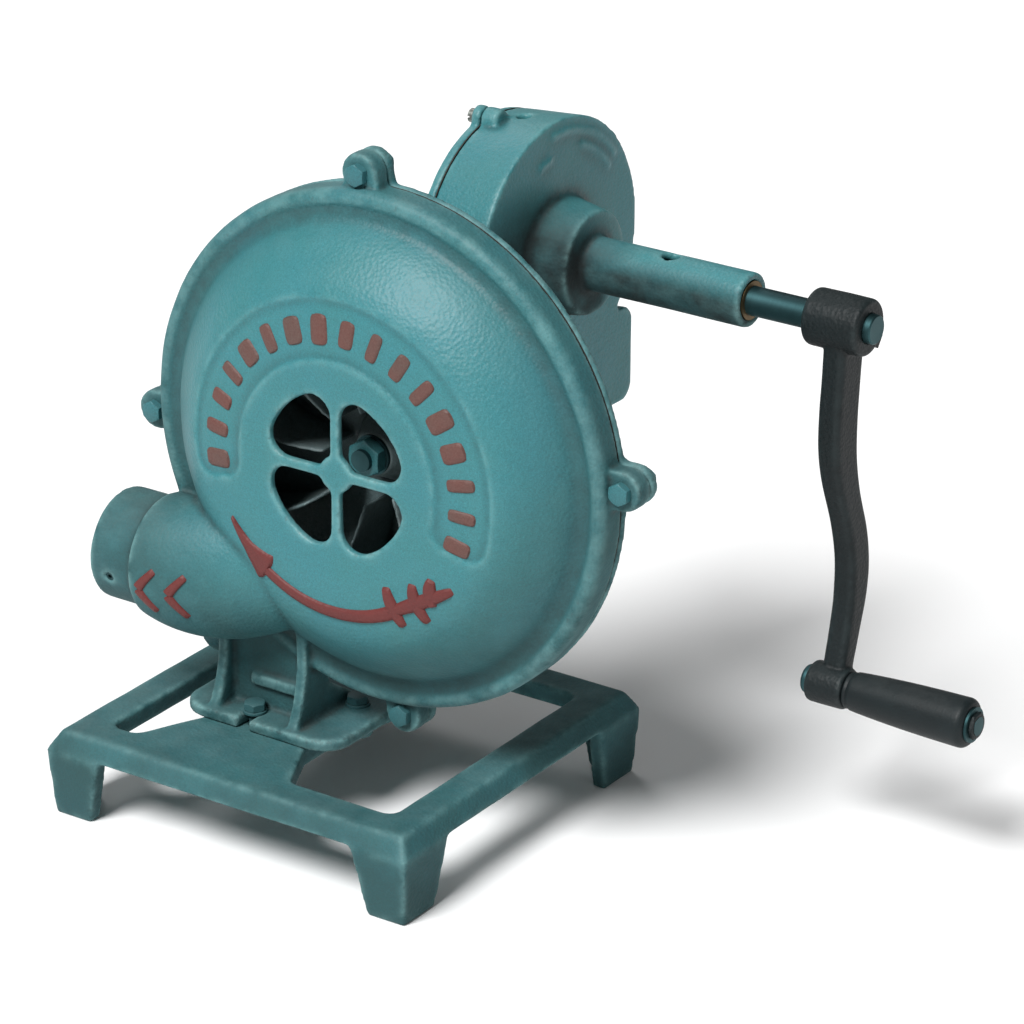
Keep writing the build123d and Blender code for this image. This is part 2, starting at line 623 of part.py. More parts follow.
def bearing_cap():
    """Screwed cap over the rear bearing."""
    body = rod_y(0, SUMP_Y1, SUMP_Y1 + 7, FAN_Z, 21.0)
    body = fillet(body.faces().sort_by(Axis.Y)[-1].edges(), 2.0)
    body += Pos(0, SUMP_Y1 + 14, FAN_Z) * Rot(90, 0, 0) * hex_prism(9.0, 8.0)
    return body


# ---- gear head ----------------------------------------------------------------------------------
def side_outline():
    """Outline of the gear housing in the plane square to the crank shaft."""
    wheel_room = Pos(CRANK_Y, CRANK_Z) * Circle(HOUSE_R)
    middle = ((SUMP_Y0 + SUMP_Y1) / 2, (SUMP_Z0 + SUMP_Z1) / 2)
    sump = Pos(*middle) * Rectangle(SUMP_Y1 - SUMP_Y0, SUMP_Z1 - SUMP_Z0)
    sump = fillet(sump.vertices(), SUMP_CORNER)
    waist = Pos(CRANK_Y, (SUMP_Z0 + CRANK_Z) / 2) * Rectangle(2 * (HOUSE_R - WAIST_IN), CRANK_Z - SUMP_Z0 - 2)
    return wheel_room + sump + waist


def slab(outline, x0, x1, taper=0.0):
    """Outline in the YZ plane drawn out from x1 towards x0."""
    plane = Plane(origin=(x1, 0, 0), x_dir=(0, 1, 0), z_dir=(1, 0, 0))
    face = plane * outline
    return extrude(face, -(x1 - x0), taper=taper)


def cavity_outline():
    """Hollow of the housing: wheel room and worm room."""
    wheel_room = Pos(CRANK_Y, CRANK_Z) * Circle(CAVITY_R)
    z0 = SUMP_Z0 + SUMP_WALL
    z1 = SUMP_Z1 + 1
    room = Pos(CRANK_Y, (z0 + z1) / 2) * Rectangle(2 * (HOUSE_R - ROOM_IN), z1 - z0)
    room = fillet(room.vertices(), 8.0)
    return wheel_room + room


def ear_places():
    """Centres (y, z) of the screw ears of the side cover."""
    upper = [polar(HOUSE_R - 3, angle, CRANK_Y, CRANK_Z) for angle in (99, 20, 172)]
    return upper + [(SUMP_Y1 - 9, SUMP_Z0 + 6), (SUMP_Y0 + 9, SUMP_Z0 + 6)]


def raised_arc(way_in, start, end):
    """Raised curved rib on the crank side of the housing."""
    radius = HOUSE_R - way_in
    outer = Circle(radius + 1.5) - Circle(radius - 1.5)
    wedge_points = [(0, 0), polar(3 * radius, start), polar(3 * radius, (start + end) / 2), polar(3 * radius, end)]
    wedge = make_face(Polyline(*wedge_points, close=True))
    arc = Pos(CRANK_Y, CRANK_Z) * (outer & wedge)
    plane = Plane(origin=(HOUSE_X1 - 1, 0, 0), x_dir=(0, 1, 0), z_dir=(1, 0, 0))
    return extrude(plane * arc, 3.0)


def gear_housing():
    """Housing casting with neck, boss and the long crank sleeve."""
    draft = degrees(atan(HOUSE_DRAFT / (HOUSE_X1 - HOUSE_X0)))
    body = slab(side_outline(), HOUSE_X0, HOUSE_X1, draft)
    neck_y1 = DISH_Y + NECK_FLANGE_T
    body += rod_y(0, DISH_Y, neck_y1, FAN_Z, NECK_R)
    neck = cone_y(0, neck_y1, SUMP_Y0 + 6, FAN_Z, NECK_END_R + 12, NECK_END_R - 6)
    body += neck - box(-2 * NECK_R, HOUSE_X0, SUMP_Y0 - 1, SUMP_Y1, SUMP_Z0 - NECK_R, CRANK_Z)
    boss_x = HOUSE_X1 + BOSS_L
    body += cone_x(HOUSE_X1 - 1, boss_x, CRANK_Y, CRANK_Z, BOSS_R + 3, BOSS_R - 2)
    body += rod_x(boss_x - 1, boss_x + SLEEVE_L, CRANK_Y, CRANK_Z, SLEEVE_R)
    for way_in, start, end in FACE_ARCS:
        body += raised_arc(way_in, start, end)
    for ey, ez in ear_places():
        body += rod_x(HOUSE_X0, HOUSE_X0 + 12, ey, ez, EAR_R)
    body += rod_y(0, DISH_Y - WALL, DISH_Y + 1, FAN_Z, NECK_SPIGOT_R)
    body -= slab(cavity_outline(), HOUSE_X0 - 1, HOUSE_X1 - HOUSE_WALL)
    body -= rod_x(0, boss_x + SLEEVE_L + 1, CRANK_Y, CRANK_Z, BUSH_R)
    body -= rod_y(0, 0, SUMP_Y1 + 1, FAN_Z, FAN_BUSH_R)
    body -= rod_z(OIL_HOLE_X, CRANK_Y, CRANK_Z, CRANK_Z + SLEEVE_R + 20, OIL_HOLE_R)
    body -= rod_z(4, CRANK_Y, CRANK_Z, CRANK_Z + HOUSE_R + 5, TOP_HOLE_R)
    for ey, ez in ear_places():
        body -= rod_x(HOUSE_X0 - 1, HOUSE_X0 + 10, ey, ez, EAR_SCREW_R)
    for i in range(4):
        sx, sz = polar(NECK_PCR, 45 + 90 * i, 0, FAN_Z)
        body -= rod_y(sx, DISH_Y - 1, neck_y1 + 1, sz, NECK_SCREW_R + HOLE_GAP)
        body -= rod_y(sx, neck_y1, neck_y1 + 20, sz, 7.5)
    body -= rod_z(0, CRANK_Y + DRAIN_BACK, SUMP_Z0 - 1, SUMP_Z0 + 20, DRAIN_R)
    return body


def side_cover():
    """Cover on the far side of the housing, with the closed inner bearing."""
    draft = degrees(atan(HOUSE_DRAFT / (HOUSE_X1 - HOUSE_X0)))
    full = slab(side_outline(), HOUSE_X0 - GASKET_T - SIDE_T, HOUSE_X1, draft)
    body = full & box(HOUSE_X0 - GASKET_T - SIDE_T, HOUSE_X0 - GASKET_T, 0, FAR, 0, FAR)
    x1 = HOUSE_X0 - GASKET_T
    for ey, ez in ear_places():
        body += rod_x(x1 - SIDE_T, x1, ey, ez, EAR_R)
    body -= slab(cavity_outline(), x1 - SIDE_RECESS, x1 + 1)
    body += cone_x(CRANK_SHAFT_X0 - 6, x1 - 0.5, CRANK_Y, CRANK_Z, 19.0, 23.0)
    body -= rod_x(CRANK_SHAFT_X0 - 1, x1 + 1, CRANK_Y, CRANK_Z, BUSH_R)
    for ey, ez in ear_places():
        body -= rod_x(x1 - SIDE_T - 1, x1 + 1, ey, ez, EAR_SCREW_R + HOLE_GAP)
    return body


def side_gasket():
    """Paper gasket under the side cover."""
    draft = degrees(atan(HOUSE_DRAFT / (HOUSE_X1 - HOUSE_X0)))
    full = slab(side_outline(), HOUSE_X0 - GASKET_T, HOUSE_X1, draft)
    body = full & box(HOUSE_X0 - GASKET_T, HOUSE_X0, 0, FAR, 0, FAR)
    body -= slab(cavity_outline(), HOUSE_X0 - 3, HOUSE_X0 + 3)
    for ey, ez in ear_places():
        body -= rod_x(HOUSE_X0 - 3, HOUSE_X0 + 3, ey, ez, 4.0)
    return body


def cover_screw(y, z):
    """Cheese-head screw of the side cover."""
    x1 = HOUSE_X0 - GASKET_T - SIDE_T
    body = rod_x(x1 - 4, x1, y, z, 4.6) + rod_x(x1 - 1, HOUSE_X0 + 9, y, z, EAR_SCREW_R - FIT)
    return body - box(x1 - 5, x1 - 2.4, y - 6, y + 6, z - 0.7, z + 0.7)


def neck_screw(index):
    """Hexagon screw through the neck flange."""
    sx, sz = polar(NECK_PCR, 45 + 90 * index, 0, FAN_Z)
    y1 = DISH_Y + NECK_FLANGE_T
    head = Pos(sx, y1 + 4.5, sz) * Rot(90, 0, 0) * hex_prism(5.0, 4.5)
    return head + rod_y(sx, DISH_Y - WALL + 1, y1 + 1, sz, NECK_SCREW_R - 2 * FIT)


def drain_plug():
    """Oil drain plug under the worm room."""
    y = CRANK_Y + DRAIN_BACK
    head = Pos(0, y, SUMP_Z0 - DRAIN_R) * hex_prism(DRAIN_R + 1.5, DRAIN_R)
    return head + rod_z(0, y, SUMP_Z0 - 1, SUMP_Z0 + SUMP_WALL - 1, DRAIN_R - FIT)


def wheel_section():
    """Toothed outline of the worm wheel."""
    half_pitch = PITCH * TOOTH_SHARE / 4
    points = []
    levels = (-DEDENDUM, 0.0, ADDENDUM)
    for tooth in range(WHEEL_TEETH):
        middle = 360 / WHEEL_TEETH * tooth
        widths = [(WHEEL_PR + d, (half_pitch - d * tan(radians(FLANK))) / (WHEEL_PR + d)) for d in levels]
        points += [polar(r, middle - degrees(w)) for r, w in widths]
        points += [polar(r, middle + degrees(w)) for r, w in reversed(widths)]
    return make_face(Polyline(*points, close=True))


def crank_wheel():
    """Worm wheel with slanted teeth, web, spoke holes and hub."""
    slant = LEAD / (2 * pi * WORM_PR)
    twist = degrees(slant * WHEEL_FACE / WHEEL_PR)
    rim = Solid.extrude_linear_with_rotation(wheel_section().face(), (0, 0, 0), (0, 0, WHEEL_FACE), twist)
    side_plane = Plane(origin=(-WHEEL_FACE / 2, CRANK_Y, CRANK_Z), x_dir=(0, 1, 0), z_dir=(1, 0, 0))
    body = side_plane.location * Rot(0, 0, -twist / 2) * rim
    for x0, x1 in ((3.5, WHEEL_FACE), (-WHEEL_FACE, -3.5)):
        pocket = rod_x(x0, x1, CRANK_Y, CRANK_Z, WHEEL_PR - DEDENDUM - 8)
        body -= pocket - rod_x(-20, 20, CRANK_Y, CRANK_Z, 20.0)
    body += rod_x(-12, 12, CRANK_Y, CRANK_Z, 18.0)
    for i in range(5):
        hy, hz = polar(42.0, 90 + 72 * i, CRANK_Y, CRANK_Z)
        body -= rod_x(-10, 10, hy, hz, 13.0)
    body -= rod_x(-20, 20, CRANK_Y, CRANK_Z, CRANK_SHAFT_R + FIT)
    return body - key_block(FIT)


def key_block(gap):
    """Room of the key between shaft and wheel, larger by a gap."""
    half = KEY_W / 2 + gap
    z0 = CRANK_Z + CRANK_SHAFT_R - KEY_W / 2
    return box(-10 - gap, 10 + gap, CRANK_Y - half, CRANK_Y + half, z0 - gap, z0 + KEY_W + gap)


def crank_shaft():
    """Crank shaft with a keyway and a flat for the set screw."""
    body = rod_x(CRANK_SHAFT_X0, CRANK_SHAFT_X1, CRANK_Y, CRANK_Z, CRANK_SHAFT_R)
    ends = body.edges().filter_by(GeomType.CIRCLE)
    body = chamfer(ends, 0.8)
    return body - key_block(FIT)


def crank_bush(x0, x1):
    """Plain bearing of the crank shaft."""
    body = rod_x(x0, x1, CRANK_Y, CRANK_Z, BUSH_R - FIT)
    return body - rod_x(x0 - 1, x1 + 1, CRANK_Y, CRANK_Z, CRANK_SHAFT_R + RUN)


def thrust_collar():
    """Collar between the wheel hub and the housing wall."""
    x1 = HOUSE_X1 - HOUSE_WALL - 0.3
    return rod_x(12, x1, CRANK_Y, CRANK_Z, 17.0) - rod_x(0, 40, CRANK_Y, CRANK_Z, CRANK_SHAFT_R + FIT)


# ---- crank --------------------------------------------------------------------------------------
def arm_profile():
    """S-curved flat of the arm in the plane square to the shaft."""
    # share of the crank radius below the shaft, sideways shift, half width
    stations = ((0.0, 0.0, 14.0), (0.17, -2.5, 13.3), (0.345, -3.7, 13.0), (0.45, 2.0, 11.6),
                (0.56, 12.0, 11.0), (0.68, 18.2, 10.8), (0.78, 16.5, 10.0), (0.88, 10.0, 8.6), (1.0, 2.0, 8.4))
    front = [(CRANK_Y + s - w, CRANK_Z - CRANK_R * k) for k, s, w in stations]
    back = [(CRANK_Y + s + w, CRANK_Z - CRANK_R * k) for k, s, w in stations]
    edges = Spline(*front) + Spline(*back) + Line(front[0], back[0]) + Line(front[-1], back[-1])
    return make_face(edges)


def crank_arm():
    """Forged crank: hub, S-curved arm and eye."""
    plane = Plane(origin=(ARM_X - ARM_T / 2, 0, 0), x_dir=(0, 1, 0), z_dir=(1, 0, 0))
    arm = extrude(plane * arm_profile(), ARM_T)
    arm = fillet(arm.edges().filter_by(lambda e: e.length > CRANK_R / 2), 4.0)
    hub = rod_x(HUB_X0, HUB_X1, CRANK_Y, CRANK_Z, HUB_R)
    hub = fillet(hub.edges().filter_by(GeomType.CIRCLE), 2.5)
    eye = rod_x(EYE_X0, EYE_X1, CRANK_Y, EYE_Z, EYE_R)
    eye = fillet(eye.edges().filter_by(GeomType.CIRCLE), 2.0)
    body = arm + hub + eye
    body -= rod_x(HUB_X0 - 1, HUB_X1 + 1, CRANK_Y, CRANK_Z, CRANK_SHAFT_R + FIT)
    body -= rod_x(EYE_X0 - 1, EYE_X1 + 1, CRANK_Y, EYE_Z, PIN_R + FIT)
    return body - set_screw_rod(CRANK_SHAFT_R, HUB_R + 5, HUB_SCREW_R)


def set_screw_rod(r0, r1, radius):
    """Cylinder out from the crank axis, in the direction of the hub's set screw."""
    body = Pos(0, 0, (r0 + r1) / 2) * Cylinder(radius, r1 - r0)
    return Pos(HUB_X1 - 11, CRANK_Y, CRANK_Z) * Rot(HUB_SCREW_TILT, 0, 0) * body


def hub_set_screw():
    """Square-head set screw of the hub."""
    head = Pos(0, 0, HUB_R + 8) * Box(9, 9, 9)
    head = Pos(HUB_X1 - 11, CRANK_Y, CRANK_Z) * Rot(HUB_SCREW_TILT, 0, 0) * head
    return head + set_screw_rod(CRANK_SHAFT_R + 0.1, HUB_R + 5, HUB_SCREW_R - FIT)


def handle_pin():
    """Pin of the grip, riveted in the eye."""
    end_x = GRIP_X1 + GRIP_PLAY + GRIP_WASHER_T + GRIP_NUT_T + 0.3
    body = rod_x(EYE_X0 - 4, end_x, CRANK_Y, EYE_Z, PIN_R)
    body += rod_x(EYE_X0 - 5, EYE_X0, CRANK_Y, EYE_Z, PIN_HEAD_R)
    return fillet(body.edges().sort_by(Axis.X)[:1], 2.5)


def handle_grip():
    """Turned grip that spins on the pin."""
    x0 = GRIP_X0
    x1 = GRIP_X1
    half = Polyline((x0, PIN_R + RUN), (x0, GRIP_R0 - 2))
    half += ThreePointArc((x0, GRIP_R0 - 2), (x0 + 0.6, GRIP_R0 - 0.6), (x0 + 2, GRIP_R0))
    half += Spline((x0 + 2, GRIP_R0), (x0 + GRIP_L * 0.45, GRIP_R0 + 1.4), (x1 - 5, GRIP_R1))
    half += ThreePointArc((x1 - 5, GRIP_R1), (x1 - 1.4, GRIP_R1 - 1.6), (x1, GRIP_R1 - 5))
    half += Polyline((x1, GRIP_R1 - 5), (x1, PIN_R + RUN), (x0, PIN_R + RUN))
    return Pos(0, CRANK_Y, EYE_Z) * revolve(make_face(half), Axis.X, 360)


def grip_washer():
    """Washer at the free end of the grip."""
    x0 = GRIP_X1 + GRIP_PLAY
    x1 = x0 + GRIP_WASHER_T
    body = rod_x(x0, x1, CRANK_Y, EYE_Z, GRIP_WASHER_R)
    return body - rod_x(x0 - 1, x1 + 1, CRANK_Y, EYE_Z, PIN_R + FIT)


def grip_nut():
    """Nut on the end of the pin."""
    x0 = GRIP_X1 + GRIP_PLAY + GRIP_WASHER_T
    nut = Pos(x0, CRANK_Y, EYE_Z) * Rot(0, 90, 0) * hex_prism(8.0, GRIP_NUT_T)
    return nut - rod_x(x0 - 1, x0 + GRIP_NUT_T + 1, CRANK_Y, EYE_Z, PIN_R + FIT)


def build():
    """All pieces by name, in the working frame."""
    sleeve_x1 = HOUSE_X1 + BOSS_L + SLEEVE_L
    parts = {
        "stand_frame": stand_frame(),
        "fan_case_front": fan_case_front(),
        "case_gasket": case_gasket(),
        "fan_case_back": fan_case_back(),
        "outlet_set_screw": outlet_set_screw(),
        "impeller": impeller(),
        "impeller_washer": fan_washer(),
        "impeller_nut": fan_nut(),
        "fan_shaft": fan_shaft(),
        "worm": worm(),
        "worm_pin": worm_pin(),
        "fan_bush_front": fan_bush(DISH_Y - WALL + 2, SUMP_Y0),
        "fan_bush_rear": fan_bush(SUMP_Y1 - 18, SUMP_Y1 - 1),
        "bearing_cap": bearing_cap(),
        "gear_housing": gear_housing(),
        "side_cover": side_cover(),
        "side_gasket": side_gasket(),
        "drain_plug": drain_plug(),
        "crank_wheel": crank_wheel(),
        "wheel_key": key_block(0.0),
        "crank_shaft": crank_shaft(),
        "thrust_collar": thrust_collar(),
        "crank_bush_inner": crank_bush(CRANK_SHAFT_X0, HOUSE_X0 - GASKET_T),
        "crank_bush_boss": crank_bush(HOUSE_X1 - HOUSE_WALL, HOUSE_X1 - HOUSE_WALL + BUSH_L),
        "crank_bush_sleeve": crank_bush(sleeve_x1 - BUSH_L, sleeve_x1),
        "crank_arm": crank_arm(),
        "hub_set_screw": hub_set_screw(),
        "handle_pin": handle_pin(),
        "handle_grip": handle_grip(),
        "grip_washer": grip_washer(),
        "grip_nut": grip_nut(),
    }
    for number, (x, z) in enumerate(lug_places(), start=1):
        parts[f"case_bolt_{number}"] = case_bolt(x, z)
        parts[f"case_nut_{number}"] = case_nut(x, z)
    for number, (x, y) in enumerate(FOOT_BOLTS, start=1):
        parts[f"foot_bolt_{number}"] = foot_bolt(x, y)
        parts[f"foot_washer_{number}"] = foot_washer(x, y)
    for number, (y, z) in enumerate(ear_places(), start=1):
        parts[f"cover_screw_{number}"] = cover_screw(y, z)
    for number in range(4):
        parts[f"neck_screw_{number + 1}"] = neck_screw(number)
    return parts


def centred(parts):
    """The same pieces with the middle of the whole part over the origin."""
    whole = Compound(children=[one(shape) for shape in parts.values()])
    size = whole.bounding_box()
    shift = (-(size.min.X + size.max.X) / 2, -(size.min.Y + size.max.Y) / 2, -size.min.Z)
    return {name: Pos(*shift) * shape for name, shape in parts.items()}, shift


PARTS, SHIFT = centred(build())
for name, shape in PARTS.items():
    export_step(one(shape), f"parts/{name}.step")
print("shift", [round(value, 4) for value in SHIFT], "nodes", len(PARTS))
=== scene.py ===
"""Dressed model of a hand crank forge blower.

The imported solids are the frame. Castings become softly rounded sand-cast pieces, fasteners get
chamfers and threads, and every surface gets a procedural finish.
"""
from __future__ import annotations

import json
import logging
import math
from dataclasses import dataclass, field
from enum import Enum
from functools import cached_property

import bmesh
import bpy
import numpy as np
from mathutils import Matrix, Vector
from mathutils.bvhtree import BVHTree

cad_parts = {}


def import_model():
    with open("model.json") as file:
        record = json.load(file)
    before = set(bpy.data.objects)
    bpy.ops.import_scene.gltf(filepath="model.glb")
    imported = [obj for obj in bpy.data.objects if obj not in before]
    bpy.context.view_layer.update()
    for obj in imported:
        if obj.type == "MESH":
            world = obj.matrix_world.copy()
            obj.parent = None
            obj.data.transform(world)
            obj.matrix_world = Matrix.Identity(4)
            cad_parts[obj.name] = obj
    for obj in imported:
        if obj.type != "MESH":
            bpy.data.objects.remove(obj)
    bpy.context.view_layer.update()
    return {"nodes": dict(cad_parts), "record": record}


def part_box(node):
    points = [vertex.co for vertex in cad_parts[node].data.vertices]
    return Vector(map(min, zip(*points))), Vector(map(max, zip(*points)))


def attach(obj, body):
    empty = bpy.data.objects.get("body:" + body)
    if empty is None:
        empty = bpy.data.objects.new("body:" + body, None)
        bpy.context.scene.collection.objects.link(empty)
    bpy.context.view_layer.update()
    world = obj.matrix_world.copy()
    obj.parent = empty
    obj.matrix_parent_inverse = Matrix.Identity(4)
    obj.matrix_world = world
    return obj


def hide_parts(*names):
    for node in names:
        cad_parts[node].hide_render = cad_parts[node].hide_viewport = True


LOG = logging.getLogger("forge_blower")
MM = 0.001
Vec3 = tuple[float, float, float]
Colour = tuple[float, float, float]


class Finish(Enum):
    """Finishes of the pieces."""

    TEAL = "teal_casting"
    # teal with a ring of painted shade in the cove inside the rim
    CASE_TEAL = "case_teal"
    # teal with painted shade on the bearing boss and under the sleeve
    OILY_TEAL = "oily_teal"
    TEAL_FASTENER = "teal_fastener"
    FAN = "impeller_paint"
    BLACK = "black_forging"
    GRIP = "black_grip"
    STEEL = "plain_steel"
    ZINC = "plated_steel"
    BRONZE = "bronze"
    PAPER = "gasket_paper"
    RED = "red_marking"
    FADED_RED = "faded_red_marking"

    @property
    def slot(self) -> str | None:
        """Material slot of the record, or None for paint that the record doesn't name."""
        others = {"case_teal": "teal_casting", "oily_teal": "teal_casting", "red_marking": None,
                  "faded_red_marking": None}
        return others.get(self.value, self.value)


class Axis(Enum):
    """Direction of a turned piece."""

    X = 0
    Y = 1
    Z = 2


# ---- places -------------------------------------------------------------------------------------
@dataclass(frozen=True)
class Layout:
    """Main axes of the machine in millimetres, in the drawing frame of the solids.

    The fan axis runs along +Y through x = 0, the rim face is y = 0 and the floor z = 0.
    """

    fan_z: float = 267.0
    crank_y: float = 158.0
    crank_z: float = 356.0
    crank_r: float = 246.0
    stand_low: Vec3 = (-197.5, -94.5, 0.0)

    def shift(self) -> np.ndarray:
        """Offset from the drawing frame to the row frame, in millimetres, read from the stand."""
        low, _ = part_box("stand_frame")
        return np.array(low) / MM - np.array(self.stand_low)

    def metres(self, points: np.ndarray) -> np.ndarray:
        """Drawing points (..., 3) in millimetres as row-frame points in metres."""
        return (np.asarray(points, float) + self.shift()) * MM

    def point(self, x: float, y: float, z: float) -> Vec3:
        """One drawing point as a plain row-frame point in metres."""
        return tuple(float(value) for value in self.metres(np.array([x, y, z])))


# ---- numpy surfaces -----------------------------------------------------------------------------
@dataclass
class Surface:
    """Vertices and faces of a surface, in drawing millimetres."""

    verts: np.ndarray
    quads: np.ndarray


def grid_surface(points: np.ndarray, wrap_u: bool = False, wrap_v: bool = False) -> Surface:
    """Joins a grid of points with four-sided faces.

    Args:
        points: array (u, v, 3); face (i, j) uses points i, i + 1 and j, j + 1.
        wrap_u: whether the last row joins the first.
        wrap_v: whether the last column joins the first.

    Returns:
        The surface.
    """
    nu, nv = points.shape[:2]
    index = np.arange(nu * nv).reshape(nu, nv)
    if wrap_u:
        index = np.vstack([index, index[:1]])
    if wrap_v:
        index = np.hstack([index, index[:, :1]])
    quads = np.stack([index[:-1, :-1], index[1:, :-1], index[1:, 1:], index[:-1, 1:]], -1).reshape(-1, 4)
    return Surface(points.reshape(-1, 3), quads)


def joined(parts: list[Surface]) -> Surface:
    """One surface of several, with face numbers shifted past the earlier vertices.

    Args:
        parts: the surfaces.

    Returns:
        The joined surface.
    """
    starts = np.cumsum([0] + [len(part.verts) for part in parts[:-1]])
    quads = np.vstack([part.quads + start for part, start in zip(parts, starts)])
    return Surface(np.vstack([part.verts for part in parts]), quads)


def round_angles(steps: int) -> np.ndarray:
    """Column of angles round a full turn."""
    return np.linspace(0, 2 * np.pi, steps, endpoint=False)[:, None]


@dataclass(frozen=True)
class Spindle:
    """Axis of turned pieces: its direction, and the centre where radius and height are 0."""

    axis: Axis
    centre: Vec3

    def shell(self, radius: np.ndarray, angle: np.ndarray, height: np.ndarray, closed: bool) -> Surface:
        """Surface of the points (r cos a, r sin a, h), with the height along the axis.

        Args:
            radius: radius at each angle and step.
            angle: column of angles.
            height: height at each step, or at each angle and step.
            closed: whether the last step joins the first.

        Returns:
            The surface.
        """
        side, up, height = np.broadcast_arrays(radius * np.cos(angle), radius * np.sin(angle), height)
        orders = {Axis.X: (height, side, up), Axis.Y: (up, height, side), Axis.Z: (side, up, height)}
        points = np.stack(orders[self.axis], -1)
        return grid_surface(points + np.array(self.centre), wrap_u=True, wrap_v=closed)

    def turned(self, profile: np.ndarray, steps: int = 96) -> Surface:
        """Turns the profile (k, 2) of a ring, radius and height; its last point joins its first."""
        return self.shell(profile[None, :, 0], round_angles(steps), profile[None, :, 1], True)

    def hexagon(self, flat: float, h0: float, h1: float, hole: float = 0.0) -> Surface:
        """Hexagon head or nut with chamfered corners.

        The wall is r(a) = flat / cos(a mod 60 - 30 degrees), cut by a 30 degree cone at each end
        face. The cone's steps are those of a 13 mm head, and grow with the head.

        Args:
            flat: half of the width across the flats.
            h0: height of the lower face.
            h1: height of the upper face.
            hole: radius of the hole through it, 0 for none.

        Returns:
            The hexagon's surface.
        """
        angle = round_angles(96)
        wall = flat / np.cos((angle % (np.pi / 3)) - np.pi / 6)
        sign = math.copysign(1.0, h1 - h0)
        depth = np.array([0.0, 0.0, 0.12, 0.3, 0.6, 1.0, 1.6]) * flat / 6.5
        depth = np.minimum(depth, abs(h1 - h0) / 2.2)
        cone = flat * 0.97 + depth / math.tan(math.radians(30))
        cone[0] = hole
        heights = np.concatenate([h0 + sign * depth, (h1 - sign * depth)[::-1]])
        radius = np.minimum(wall, np.concatenate([cone, cone[::-1]]))
        return self.shell(radius, angle, heights, hole > 0)

    def threaded(self, radius: float, pitch: float, h0: float, h1: float) -> Surface:
        """Threaded rod end, tapered at the tip.

        The wall is r(a, h) = radius - 0.55 pitch * triangle(h / pitch - a / 360 degrees).

        Args:
            radius: outside radius of the thread.
            pitch: distance between turns.
            h0: height where the rod starts.
            h1: height of its tip.

        Returns:
            The rod's surface.
        """
        turns = max(2.0, abs(h1 - h0) / pitch)
        share = np.linspace(0, 1, int(turns * 6) + 1)
        angle = round_angles(36)
        height = h0 + (h1 - h0) * share
        phase = (height / pitch - angle / (2 * np.pi)) % 1.0
        wall = radius - 0.55 * pitch * np.abs(2 * phase - 1)
        wall *= 0.8 + 0.2 * np.clip(np.abs(h1 - height) / (0.6 * pitch), 0.0, 1.0)
        wall[:, [0, -1]] = 0.0
        return self.shell(wall, angle, height, False)


def rounded_profile(corners: list[tuple[float, float]], radius: float, steps: int = 4) -> np.ndarray:
    """Rounds the inner corners of a turned profile with short quadratic curves.

    Each corner b between a and c becomes (1-t)^2 p + 2t(1-t) b + t^2 q, where p and q lie one
    radius away from b on its two sides.

    Args:
        corners: the profile's (radius, height) corners in order.
        radius: how far the curve starts from a corner, at most 0.45 of a side.
        steps: points on each curve.

    Returns:
        Array (k, 2) of profile points.
    """
    line = np.array(corners, float)
    before, here, after = line[:-2], line[1:-1], line[2:]
    to_before, to_after = before - here, after - here
    len_before = np.linalg.norm(to_before, axis=1, keepdims=True)
    len_after = np.linalg.norm(to_after, axis=1, keepdims=True)
    p = here + to_before / len_before * np.minimum(radius, 0.45 * len_before)
    q = here + to_after / len_after * np.minimum(radius, 0.45 * len_after)
    t = np.linspace(0, 1, steps + 1)[None, :, None]
    curve = (1 - t) ** 2 * p[:, None] + 2 * t * (1 - t) * here[:, None] + t ** 2 * q[:, None]
    return np.vstack([line[:1], curve.reshape(-1, 2), line[-1:]])


# ---- meshes -------------------------------------------------------------------------------------
def tidy_mesh(mesh: bpy.types.Mesh, outwards: bool = True) -> None:
    """Merges doubled vertices and turns the faces outwards.

    Args:
        mesh: the mesh to tidy.
        outwards: whether the normals are worked out again.
    """
    shape = bmesh.new()
    shape.from_mesh(mesh)
    bmesh.ops.remove_doubles(shape, verts=shape.verts, dist=2e-6)
    bmesh.ops.dissolve_degenerate(shape, edges=shape.edges, dist=1e-7)
    if outwards:
        bmesh.ops.recalc_face_normals(shape, faces=shape.faces)
    shape.to_mesh(mesh)
    shape.free()


def linked(name: str, data: bpy.types.ID) -> bpy.types.Object:
    """New object in the scene.

    Args:
        name: name of the object.
        data: its mesh, light or camera.

    Returns:
        The object.
    """
    made = bpy.data.objects.new(name, data)
    bpy.context.scene.collection.objects.link(made)
    return made


def new_piece(name: str, surface: Surface, layout: Layout, smooth_angle: float = 38.0) -> bpy.types.Object:
    """Makes an object of a surface, at the origin with its place in its mesh.

    Args:
        name: name of the piece.
        surface: vertices in drawing millimetres and faces.
        layout: the machine's frame.
        smooth_angle: edges sharper than this stay sharp.

    Returns:
        The linked object.
    """
    mesh = bpy.data.meshes.new(name)
    mesh.from_pydata(layout.metres(surface.verts).tolist(), [], surface.quads.tolist())
    mesh.validate()
    tidy_mesh(mesh)
    piece = linked(name, mesh)
    mesh.shade_smooth()
    mesh.set_sharp_from_angle(angle=math.radians(smooth_angle))
    return piece


def edge_average(co: np.ndarray, ends: np.ndarray) -> np.ndarray:
    """Mean over each vertex's neighbours of its place or of another value.

    Args:
        co: a row of values for each vertex (n, k).
        ends: the two vertices of each edge (m, 2).

    Returns:
        Array (n, k) of neighbour means.
    """
    a, b = ends[:, 0], ends[:, 1]
    count = np.bincount(a, minlength=len(co)) + np.bincount(b, minlength=len(co))
    total = np.empty_like(co)
    for k in range(co.shape[1]):
        total[:, k] = np.bincount(a, co[b, k], len(co)) + np.bincount(b, co[a, k], len(co))
    return total / np.maximum(count, 1)[:, None]


